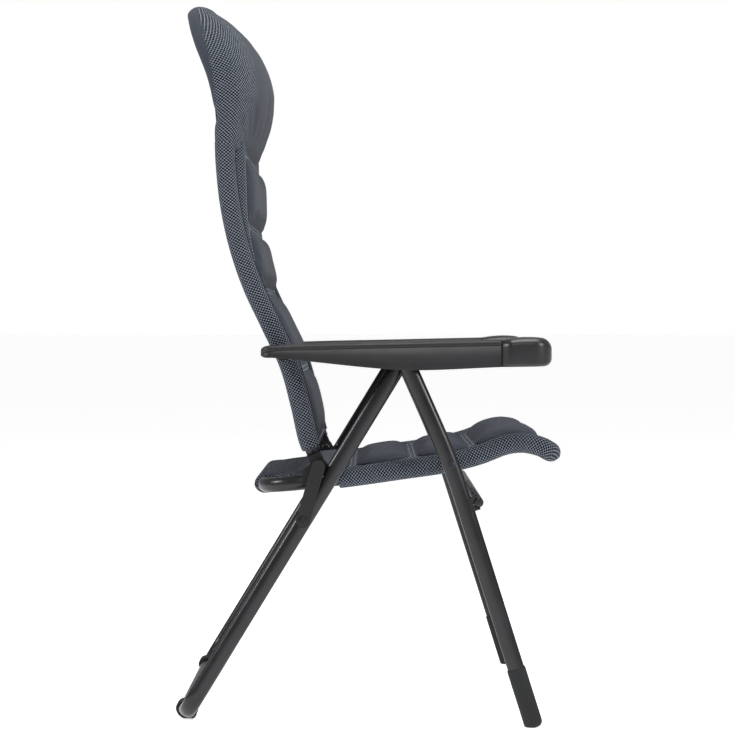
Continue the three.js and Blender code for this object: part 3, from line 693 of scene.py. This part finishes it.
def makeTufts(body, material):
    look = tuftShape
    line, valleyRows, tufts, corner = pads[body]
    valley = table(valleyRows)
    for number, (start, end, crown) in enumerate(tufts, 1):
        grid, held = tuftGrid(line, valley, start, end, crown, corner)
        piece = ringPiece(f"{body}_panel_{number}", grid, material, np.ones(grid.shape[:2]))
        swollen(piece, held.ravel(), look)
        finishPiece(subdivided(piece), body)
        if piece.name in foldSquash:
            middle, along = line.at(np.array([(start + end) / 2]))
            under = valley((start + end) / 2) - look["sink"]
            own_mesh(piece)
        print("panel", piece.name, "made")


headrest = {
    "start": 0.512, "over": 0.0185,
    "front": [
        (0.512, 0.026), (0.525, 0.037), (0.542, 0.0455), (0.559, 0.0545), (0.575, 0.0625),
        (0.592, 0.0685), (0.608, 0.0725), (0.622, 0.0745), (0.638, 0.0750), (0.655, 0.0735),
        (0.671, 0.0702), (0.688, 0.0657), (0.706, 0.0597), (0.722, 0.0520), (0.738, 0.0420),
        (0.7505, 0.0315),
    ],
    "rear": [
        (0.512, 0.0155), (0.55, 0.0150), (0.571, 0.0100), (0.59, 0.0135), (0.64, 0.0165),
        (0.69, 0.0205), (0.72, 0.0195), (0.7505, 0.0165),
    ],
    "cornerRound": 0.119, "shoulder": 2.5, "sides": 0.2502, "meshTo": 0.182, "meshRise": 0.040,
    "meshFade": 0.030, "bandFrom": 0.571, "bandSpread": 0.09, "hem": 0.006, "meshLength": 0.15,
    "held": 0.03, "pressure": 1.6, "most": 0.004, "growth": 0.008,
}


def headrestWidth(s):
    # Straight sides, then a quarter round at each top corner
    look = headrest
    top = backLine.length + look["over"]
    into = np.clip(s - (top - look["cornerRound"]), 0, look["cornerRound"])
    return look["sides"] - look["cornerRound"] + np.sqrt(look["cornerRound"] ** 2 - into**2)


def headrestSection(s):
    # Half section: flat behind, round the tube, then a crowned shoulder up to the face
    look = headrest
    half = headrestWidth(s)[:, None]
    end = backLine.length
    closing = np.sqrt(1 - np.clip((s - end) / look["over"], 0, 1) ** 2)[:, None]
    opening = np.sqrt(1 - (1 - np.clip((s - look["start"]) / look["hem"], 0, 1)) ** 2)[:, None]
    front = table(look["front"])(s)[:, None] * closing * (0.55 + 0.45 * opening)
    rear = table(look["rear"])(s)[:, None] * closing * (0.9 + 0.1 * opening)
    round_ = np.minimum(tubeWrap["round"], half * 0.5)
    span = half - round_
    share = np.linspace(0, 1, 14)[None, :-1]
    rearY = span * share
    rearOut = -rear * (1 - 0.12 * (1 - share**2))
    turn = np.radians(np.linspace(-90, 0, 9))[None, :]
    arcY = span + round_ * np.cos(turn)
    arcOut = rear * np.sin(turn)
    lift = np.radians(np.linspace(0, 90, 30)[1:-1])[None, :]
    power = 2 / look["shoulder"]
    crownY = half * np.cos(lift) ** power
    crownOut = front * np.sin(lift) ** power
    y = np.concatenate([rearY, arcY, crownY], 1)
    out = np.concatenate([rearOut, arcOut, crownOut], 1)
    higher = np.clip((s - look["bandFrom"]) / look["meshLength"], 0, 1)[:, None]
    meshTo = look["meshTo"] - look["meshRise"] * higher
    face = np.clip((meshTo + look["meshFade"] - y) / look["meshFade"], 0, 1) * (out > 0)
    past = (s - look["bandFrom"])[:, None]
    band = (out < -0.012 + look["bandSpread"] * past) & (past > 0)
    return y, out, np.maximum(face, band)


def makeHeadrest(material):
    look = headrest
    end = backLine.length + look["over"]
    body = np.linspace(look["start"] + look["hem"], backLine.length, 56)
    first = look["start"] + look["hem"] * quarter(5)[1][:-1]
    last = backLine.length + look["over"] * quarter(9)[0][1:]
    s = np.concatenate([first, body, last - 1e-5])
    y, out, share = headrestSection(s)
    y, out = mirrored((y, out))
    share = np.concatenate([share, share[:, ::-1]], 1)
    grid = backLine.point(s[:, None] * np.ones_like(y), y, out)
    piece = ringPiece("headrest_cushion", grid, material, share)
    s = s[:, None]
    held = (out < 0.02) | (s < look["start"] + look["held"]) | (s > end - look["held"])
    swollen(piece, held.ravel(), look)
    finishPiece(subdivided(piece), "back", ["headrest"])
    print("headrest made")


seatCover = {
    "start": -0.0205, "end": 0.3500,
    "valley": [
        (-0.02, 0.0115), (0.03, 0.0115), (0.12, 0.0115), (0.23, 0.013), (0.33, 0.012), (0.47, 0.010),
    ],
    "hem": 0.004, "rearSag": 0.003, "gussetFrom": 0.222, "gussetTo": 0.203, "recess": 0.005,
    "nose": 0.0205, "noseRound": 0.030,
}
rearPanel = {
    "start": 0.340, "wide": 0.2185, "narrow": 0.171, "turnFrom": 0.424, "turnTo": 0.455,
    "over": 0.0165,
    "under": [(0.34, 0.0155), (0.36, 0.0065), (0.435, 0.0065), (0.462, 0.0160), (0.471, 0.0162)],
    "top": [(0.34, 0.0120), (0.44, 0.0125), (0.458, 0.0158), (0.471, 0.0162)],
}


def makeSeatCover(material):
    look = seatCover
    nose = look["nose"]
    fine = look["start"] + nose * quarter(10)[1]
    s = np.concatenate([fine[:-1], endSpaced(0.0, look["end"], look["hem"], 84)[4:]])
    valley = table(look["valley"])(s)
    into = np.clip(look["noseRound"] - (s - look["start"]), 0, look["noseRound"])
    inset = look["noseRound"] - np.sqrt(look["noseRound"] ** 2 - into**2)
    y, out = mirrored(coverSection(s, look, valley, tubeWrap["halfSpan"] - inset))
    ahead = np.clip(-s / nose, 0, 1)
    closing = np.sqrt(1 - ahead**2)
    closing[0] = 0.02
    tail = hemmed(s, look["start"] - 1, look["end"], look["hem"])
    y, out = drawnIn(y, out, tail[:, None])
    out = out * closing[:, None]
    softPiece("seat_cover", "seat", seatLine, s, y, out, material, ["seat_pad"])


def makeRearPanel(material):
    look = rearPanel
    length = seatLine.length
    body = np.linspace(look["start"], length, 40)
    last = length + look["over"] * quarter(9)[0][1:]
    s = np.concatenate([body, last])
    bend = np.clip((s - look["turnFrom"]) / (look["turnTo"] - look["turnFrom"]), 0, 1)
    half = look["wide"] - (look["wide"] - look["narrow"]) * bend * bend * (3 - 2 * bend)
    closing = np.sqrt(np.clip(1 - ((s - length) / look["over"]).clip(0) ** 2, 0.0004, 1))
    top = table(look["top"])(s) * closing
    under = table(look["under"])(s) * closing
    middle, deep = (top - under) / 2, (top + under) / 2
    turn = np.linspace(-math.pi / 2, math.pi / 2, 19)[None, 1:-1]
    edge = np.minimum(0.010, deep)[:, None]
    arcY = half[:, None] - edge + edge * np.cos(turn)
    arcOut = middle[:, None] + deep[:, None] * np.sin(turn)
    share = np.linspace(0, 1, 12)[None, :-1]
    flatY = (half[:, None] - edge) * share
    rearOut = -under[:, None] * np.ones_like(share)
    frontOut = top[:, None] * np.ones_like(share)
    y, out = mirrored((
        np.concatenate([flatY, arcY, flatY[:, ::-1]], 1),
        np.concatenate([rearOut, arcOut, frontOut], 1),
    ))
    softPiece("seat_rear_panel", "seat", seatLine, s, y, out, material, ())


pads = {
    # side line, height of the valleys, panels, and how round their corners are
    "back": (backLine, backCover["valley"], backTufts, tuftShape["backCorner"]),
    "seat": (seatLine, seatCover["valley"], seatTufts, tuftShape["seatCorner"]),
}
tape = {
    "start": 0.014, "end": 0.5135, "wide": 0.0046, "thick": 0.0013, "y": 0.2262, "out": 0.0152,
    "slope": 0.45,
}
stitch = {"length": 0.0036, "pitch": 0.0054, "radius": 0.00045, "outside": 0.0026}


def makeTapes(material):
    # A flat band with round edges, leaning over the inner side of each tube sleeve
    start, end = tape["start"], tape["end"]
    lean, rise = math.cos(tape["slope"]), math.sin(tape["slope"])
    for side, suffix in sides:
        s = np.linspace(start, end, 120)[:, None]
        cosine, sine = circle(16)
        across, up = tape["wide"] * cosine, tape["thick"] * sine
        taper = np.sqrt(np.clip(1 - (2 * (s - start) / (end - start) - 1) ** 40, 0.001, 1))
        y = tape["y"] + (across * lean - up * rise) * taper
        out = tape["out"] + (across * rise + up * lean) * taper
        grid = backLine.point(s * np.ones_like(y), side * y, out)
        band = ringPiece(f"back_tape_{suffix}", grid, material, np.ones(y.shape))
        finishPiece(band, "back")


def panelOutline(start, end, corner):
    # Once round a panel with round corners, in evenly spaced points: along s, across y
    outside = stitch["outside"]
    halfLength = (end - start) / 2 + outside
    half = tuftShape["halfWidth"] + outside
    round_ = corner + outside
    turn = np.linspace(0, math.pi / 2, 16)
    quarters = []
    for number, (signS, signY) in enumerate([(1, 1), (-1, 1), (-1, -1), (1, -1)]):
        a = turn + number * math.pi / 2
        centre = (signS * (halfLength - round_), signY * (half - round_))
        quarters.append(np.stack([centre[0] + round_ * np.cos(a), centre[1] + round_ * np.sin(a)], 1))
    loop = np.vstack(quarters + [quarters[0][:1]])
    reach = np.concatenate([[0], np.cumsum(np.linalg.norm(np.diff(loop, axis=0), axis=1))])
    return loop + [(start + end) / 2, 0], reach


def makeStitches(body, material):
    line, valleyRows, tufts, corner = pads[body]
    valley = table(valleyRows)
    starts, directions = [], []
    for start, end, _ in tufts:
        loop, reach = panelOutline(start, end, corner)
        count = int(reach[-1] / stitch["pitch"])
        where = np.arange(count) * reach[-1] / count
        tips = []
        for shift in (-stitch["length"] / 2, stitch["length"] / 2):
            on = (where + shift) % reach[-1]
            s = np.interp(on, reach, loop[:, 0])
            y = np.interp(on, reach, loop[:, 1])
            tips.append(line.point(s, y, valley(s) + 0.0002))
        starts.append((tips[0] + tips[1]) / 2)
        directions.append(tips[1] - tips[0])
    middle, along = np.vstack(starts), np.vstack(directions)
    half = np.linalg.norm(along, axis=1, keepdims=True) / 2
    along = along / (2 * half)
    side = np.cross(along, [0.3, 0.1, 1.0])
    side /= np.linalg.norm(side, axis=1, keepdims=True)
    up = np.cross(side, along)
    stations = np.array([-1.0, -0.75, 0.75, 1.0])
    girth = stitch["radius"] * np.array([0.3, 1, 1, 0.3])
    ringY, ringZ = (girth[:, None] * v for v in circle(6))
    points = (
        middle[:, None, None]
        + (along * half)[:, None, None] * stations[None, :, None, None]
        + side[:, None, None] * ringY[None, :, :, None]
        + up[:, None, None] * ringZ[None, :, :, None]
    )
    one = facingOut(points[0].reshape(-1, 3), ringFaces(4, 6))
    faces = (one[None] + 24 * np.arange(len(middle))[:, None, None]).reshape(-1, 4)
    piece = makePiece(f"{body}_stitches", points.reshape(-1, 3), faces, material)
    finishPiece(piece, body)


armrest = {
    "rear": -0.1683, "seam": 0.2128, "inner": 0.2524, "outer": 0.3109, "flare": 0.004,
    "flareFrom": 0.15,
    "top": [(-0.1683, 0.5985), (-0.164, 0.6020), (-0.155, 0.6042), (0.075, 0.6108), (0.2128, 0.6138)],
    "bottom": [
        (-0.1683, 0.5895), (-0.163, 0.5865), (-0.1428, 0.5855), (0.0225, 0.5687),
        (0.0839, 0.5663), (0.2128, 0.5714),
    ],
    "round": 0.0055, "noseRound": 0.019, "groove": 0.0078, "grooveWide": 0.0012,
    "grooveDeep": 0.0010, "wall": 0.0028, "step": 0.0002, "crown": 0.0012,
}
armCap = {
    "seam": 0.2131, "tip": 0.2930, "inner": 0.2524, "outer": 0.3149, "wide": 0.3259,
    "widenBy": 0.230,
    "top": [(0.2131, 0.6138), (0.235, 0.6168), (0.257, 0.6178), (0.279, 0.6162), (0.293, 0.6120)],
    "bottom": [(0.2131, 0.5714), (0.285, 0.5730), (0.293, 0.5740)],
    "round": 0.0120, "lowRound": 0.0050, "tipRound": 0.030, "tipFall": 0.014, "crown": 0.0012,
}


def armrestSection(x):
    # Half of the outer skin from the foot of the wall up to the middle, as (out from middle, height)
    look = armrest
    top, bottom = table(look["top"])(x)[:, None], table(look["bottom"])(x)[:, None]
    ahead = (x - look["flareFrom"]) / (look["seam"] - look["flareFrom"])
    flare = look["flare"] * np.clip(ahead, 0, 1) ** 2
    middle = (look["inner"] + look["outer"] + flare) / 2
    nose = look["noseRound"]
    into = np.clip(nose - (x - look["rear"]), 0, nose)
    half = ((look["outer"] + flare - look["inner"]) / 2 - nose + np.sqrt(nose**2 - into**2))[:, None]
    column = np.ones((len(x), 1))
    rise, fall = quarter(8)
    drop = look["groove"] + look["grooveWide"] * np.array([1, 0.8, 0.2, 0])
    inset = np.array([0, look["grooveDeep"], look["grooveDeep"], 0])
    radius = np.minimum(look["round"], (top - bottom) * 0.45)
    wallY = np.concatenate([half * np.ones((1, 3)), half - inset * column], 1)
    wallZ = np.concatenate([bottom + [[0, 0.001, 0.003]], top - drop * column], 1)
    wallZ = np.maximum(wallZ, bottom + [[0, 0.0005, 0.001, 0.0012, 0.0014, 0.0016, 0.0018]])
    edgeY = half - radius * fall
    edgeZ = top - radius * (1 - rise)
    share = np.linspace(1, 0, 9)[None, 1:-1]
    flatY = edgeY[:, -1:] * share
    flatZ = top + look["crown"] * (1 - share**2)
    return middle, np.concatenate([wallY, edgeY, flatY], 1), np.concatenate([wallZ, edgeZ, flatZ], 1)


def onBothArms(name, node, x, ringY, ringZ, material):
    for side, suffix in sides:
        grid = np.stack([x[:, None] * np.ones_like(ringY), side * ringY, ringZ], -1)
        piece = ringPiece(f"{name}_{suffix}", grid, material)
        finishPiece(piece, f"{suffix}_armrest", [f"{node}_{suffix}"])


def makeArmrests(material):
    # A channel open underneath: each ring is the outer skin over the top and the inner skin back
    look = armrest
    wall = look["wall"]
    near = look["rear"] + look["noseRound"] * (1 - np.cos(np.linspace(0.02, math.pi / 2, 14)))
    wallStart = look["seam"] - wall
    middleX = np.linspace(near[-1], wallStart, 90)[1:]
    x = np.concatenate([near, middleX, [wallStart + look["step"], look["seam"]]])
    middle, y, z = armrestSection(x)
    bottom = z[:, :1]
    hollow = ((x > look["rear"] + wall) & (x < wallStart + look["step"] / 2))[:, None]
    innerY = np.minimum(y, y[:, :1] - wall)
    innerZ = bottom + hollow * (np.minimum(z, z.max(1, keepdims=True) - wall) - bottom).clip(0)
    skinY = np.concatenate([y, -y[:, ::-1]], 1)
    skinZ = np.concatenate([z, z[:, ::-1]], 1)
    backY = np.concatenate([-innerY, innerY[:, ::-1]], 1)
    backZ = np.concatenate([innerZ, innerZ[:, ::-1]], 1)
    ringY = np.concatenate([skinY, backY], 1) + middle[:, None]
    ringZ = np.concatenate([skinZ, backZ], 1)
    onBothArms("armrest_shell", "armrest", x, ringY, ringZ, material)


def makeArmCaps(material):
    # Solid rings with a big round above and a small one below, drawn in towards the tip
    look = armCap
    reach = look["tipRound"]
    x = np.concatenate([
        np.linspace(look["seam"], look["tip"] - reach, 24)[:-1],
        look["tip"] - reach * (1 - np.sin(np.linspace(0, math.pi / 2 - 0.03, 22))),
    ])
    top, bottom = table(look["top"])(x)[:, None], table(look["bottom"])(x)[:, None]
    widen = np.clip((x - look["seam"]) / (look["widenBy"] - look["seam"]), 0, 1)
    outer = look["outer"] + (look["wide"] - look["outer"]) * np.sin(widen * math.pi / 2)
    into = np.clip(x - (look["tip"] - reach), 0, reach)
    trim = reach - np.sqrt(reach**2 - into**2)
    middle = (look["inner"] + outer) / 2
    half = ((outer - look["inner"]) / 2 - trim)[:, None]
    ahead = np.clip(1 - (look["tip"] - x) / look["tipFall"], 0, 1)[:, None]
    rise, fall = quarter(9)
    low = np.minimum(look["lowRound"], half * 0.5)
    high = np.minimum(look["round"], half * 0.9)
    inShare = np.linspace(0, 1, 7)[None, 1:-1]
    lowY, lowZ = half - low * (1 - rise), bottom + low * fall
    highY, highZ = half - high * fall, top - high * (1 - rise)
    y = np.concatenate([(half - low) * inShare, lowY, highY, (half - high) * (1 - inShare)], 1)
    z = np.concatenate([
        bottom * np.ones((1, 5)), lowZ, highZ, top + look["crown"] * (1 - (1 - inShare) ** 2)
    ], 1)
    centre = (top + bottom) / 2
    z = centre + (z - centre) * (0.45 + 0.55 * np.sqrt(1 - ahead**2))
    ringY = np.concatenate([y, -y[:, ::-1]], 1) + middle[:, None]
    ringZ = np.concatenate([z, z[:, ::-1]], 1)
    onBothArms("armrest_paddle", "armrest_cap", x, ringY, ringZ, material)


tubes = {
    "legWide": 0.018, "legDeep": 0.027, "bodyWide": 0.020, "bodyDeep": 0.024,
    "bodySpan": 0.236, "rearLegSpan": 0.268, "frontLegSpan": 0.2926,
    "backCorner": 0.105, "seatCorner": 0.060, "rearCorner": 0.042,
    "pastPin": 0.0120, "barHem": 0.003,
}
legs = {
    "pin": (shiftX + 0.0492, 0.587), "rearLean": 31.46, "frontLean": 23.9, "footLean": 17.5,
    "pivotDown": 0.1867, "bend": 0.060, "floorBar": 0.0132, "bootFoot": 0.024,
    "bootLength": 0.098, "bootWall": 0.0016, "bootRound": 0.010,
}


def legPoint(start, lean, length, forward):
    # Down a leg from a point, by its lean from upright in degrees
    turn = math.radians(lean)
    return (start[0] + forward * math.sin(turn) * length, start[1] - math.cos(turn) * length)


def framePath(line, halfSpan, corner):
    # Once along a U frame: up one side, round a corner, across, and back, as (s, y)
    end = line.length
    rise, fall = quarter(16)
    s = np.concatenate([np.linspace(0, end - corner, 70)[:-1], end - corner + corner * rise])
    y = np.concatenate([np.full(69, halfSpan), halfSpan - corner * fall])
    across = np.linspace(halfSpan - corner, 0, 8)[1:-1]
    s = np.concatenate([s, np.full(6, end)])
    y = np.concatenate([y, across])
    return np.concatenate([s, s[::-1]]), np.concatenate([y, -y[::-1]])


def tubeGrid(line, s, y, wide, deep):
    # An oval carried along the path, its depth square to the side line
    centre = line.point(s, y, np.zeros_like(s))
    along = line.at(s)[1]
    normal = np.stack([along[:, 1], np.zeros(len(s)), -along[:, 0]], 1)
    ahead = np.gradient(centre, axis=0)
    across = np.cross(ahead, normal)
    across /= np.linalg.norm(across, axis=1, keepdims=True)
    cosine, sine = (v[None, :, None] for v in circle(32))
    wide, deep = (np.broadcast_to(v, len(s))[:, None, None] for v in (wide, deep))
    return (
        centre[:, None] + normal[:, None] * deep / 2 * sine
        + across[:, None] * wide / 2 * cosine
    )


def makeTube(name, body, line, s, y, wide, deep, replaced):
    piece = ringPiece(name, tubeGrid(line, s, y, wide, deep), hard["graphiteTube"])
    finishPiece(piece, body, replaced)


def roundTop(s, deep):
    # The depth of a leg by its length from the top, drawn in to a round end
    near = np.clip(s / (deep / 2), 0, 1)
    return deep * np.sqrt(1 - 0.97 * (1 - near) ** 2)


def makeTubes():
    look = tubes
    wide, deep = look["legWide"], look["legDeep"]
    pin, lean = legs["pin"], legs["rearLean"]
    down = (pin[1] - legs["floorBar"]) / math.cos(math.radians(lean))
    rearLine = SideLine([legPoint(pin, lean, length, -1) for length in (-look["pastPin"], down)])
    s, y = framePath(rearLine, look["rearLegSpan"], look["rearCorner"])
    replaced = ["rear_leg_frame", "rear_leg_fitting_right", "rear_leg_fitting_left"]
    makeTube("rear_leg_tube", "rear_legs", rearLine, s, y, wide, roundTop(s, deep), replaced)
    for name, body, line, corner, node in (
        ("back_tube", "back", backLine, look["backCorner"], "back_frame"),
        ("seat_tube", "seat", seatLine, look["seatCorner"], "seat_frame"),
    ):
        s, y = framePath(line, look["bodySpan"], corner)
        makeTube(name, body, line, s, y, look["bodyWide"], look["bodyDeep"], [node])


def makeFrontLegs():
    # Straight, bent round the seat pivot and straight again, with a rubber boot over each foot
    look = tubes
    wide, deep = look["legWide"], look["legDeep"]
    toPivot = legs["pivotDown"]
    start, bendFrom, pivot = (
        legPoint(legs["pin"], legs["frontLean"], length, 1)
        for length in (-look["pastPin"], toPivot - legs["bend"], toPivot)
    )
    bendTo = legPoint(pivot, legs["footLean"], legs["bend"], 1)
    down = pivot[1] / math.cos(math.radians(legs["footLean"]))
    end = legPoint(pivot, legs["footLean"], down - legs["bootFoot"], 1)
    sole = legPoint(pivot, legs["footLean"], down, 1)
    t = np.linspace(0, 1, 9)[:, None]
    bend = (1 - t) ** 2 * np.array(bendFrom) + 2 * t * (1 - t) * np.array(pivot)
    bend = bend + t**2 * np.array(bendTo)
    frontLine = SideLine([start, *bend.tolist(), end])
    rise, fall = quarter(10)
    s = np.concatenate([deep / 2 * fall, np.linspace(deep / 2, frontLine.length, 80)[1:]])
    bootLine = SideLine([legPoint(sole, legs["footLean"], -legs["bootLength"], 1), sole])
    sunk = bootLine.length - legs["bootRound"] * (1 - rise[1:])
    rim = [0, 0.0006, 0.002]
    bootS = np.concatenate([rim, np.linspace(0.004, sunk[0] - 0.001, 20), sunk])
    swell = np.ones(len(bootS))
    swell[:3] = (0.93, 0.97, 0.995)
    swell[-9:] = 1 - 0.45 * fall[1:]
    wall = 2 * legs["bootWall"]
    for side, suffix in sides:
        y = np.full(len(s), side * look["frontLegSpan"])
        replaced = [f"front_leg_{suffix}", f"front_leg_fitting_{suffix}"]
        name = f"front_tube_{suffix}"
        makeTube(name, "front_legs", frontLine, s, y, wide, roundTop(s, deep), replaced)
        y = np.full(len(bootS), side * look["frontLegSpan"])
        grid = tubeGrid(bootLine, bootS, y, (wide + wall) * swell, (deep + wall) * swell)
        grid[..., 2] = grid[..., 2].clip(0.0002)
        boot = ringPiece(f"front_boot_skin_{suffix}", grid, hard["blackRubber"])
        finishPiece(boot, "front_legs", [f"front_boot_{suffix}"])


def makeCrossBars():
    # The two straight round bars, where the frame has them; tuck keeps the ends under the cover
    for name, body, node, tuck in (
        ("cross_bar", "front_legs", "front_cross_tube", 0.0),
        ("front_bar", "seat", "seat_front_rail", 0.028),
    ):
        low, high = (np.array(corner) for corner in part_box(node))
        middle, reach = (low + high) / 2, (high - low) / 2 - [0, tuck, 0]
        cosine, sine = circle(32)
        rise, fall = quarter(6)
        hem = tubes["barHem"]
        y = np.concatenate([-reach[1] + hem * fall, [0], (reach[1] - hem * fall)[::-1]])
        end = reach[0] - hem * (1 - rise)
        girth = np.concatenate([end, [reach[0]], end[::-1]])
        grid = np.stack([
            middle[0] + girth[:, None] * cosine, y[:, None] * np.ones(32),
            middle[2] + girth[:, None] * sine,
        ], -1)
        piece = ringPiece(name, grid, hard["graphiteTube"])
        finishPiece(piece, body, [node])


makeCamera()
makeLights()
print("camera and lights made")

grain = fineGrainGroup()
# Painted light on faces that look up, for all the hard finishes
topLightNodes = paintedTopLightGroup()
hard = {name: hardMaterial(name, grain, topLightNodes) for name in hardFinishes}
padCloth = clothMaterial(spacerMeshGroup(), fineWeaveGroup())
seamThread = threadMaterial()
makeFloor(floorMaterial())
print("materials made")

finishOf = {
    "graphiteTube": (
        "rear_leg_", "front_cross_tube", "front_leg_", "seat_frame", "seat_front_rail", "back_frame",
    ),
    "blackRubber": ("front_boot", "rear_foot_pad"),
    "darkSteel": (
        "arm_pin", "link_screw", "seat_pivot_bolt", "hinge_bolt", "armrest_bolt",
        "hinge_spacer", "armrest_spacer", "armrest_bush",
    ),
    "armrestMoulding": ("armrest_right", "armrest_left", "notch_rack"),
    "capMoulding": ("armrest_cap",),
}


def dressNodes():
    for name, node in nodes.items():
        chosen = "blackFitting"
        for finish, starts in finishOf.items():
            if name.startswith(starts):
                chosen = finish
        for number in range(max(1, len(node.data.materials))):
            if number < len(node.data.materials):
                node.data.materials[number] = hard[chosen]
            else:
                node.data.materials.append(hard[chosen])


dressNodes()
print("frame dressed")

makeBackCover(padCloth)
makeTufts("back", padCloth)
makeHeadrest(padCloth)
makeSeatCover(padCloth)
makeRearPanel(padCloth)
makeTufts("seat", padCloth)
makeTapes(padCloth)
makeStitches("back", seamThread)
makeStitches("seat", seamThread)
print("soft goods made")

makeArmrests(hard["armrestMoulding"])
makeArmCaps(hard["capMoulding"])
print("armrests made")

makeTubes()
makeFrontLegs()
makeCrossBars()
print("tubes made")
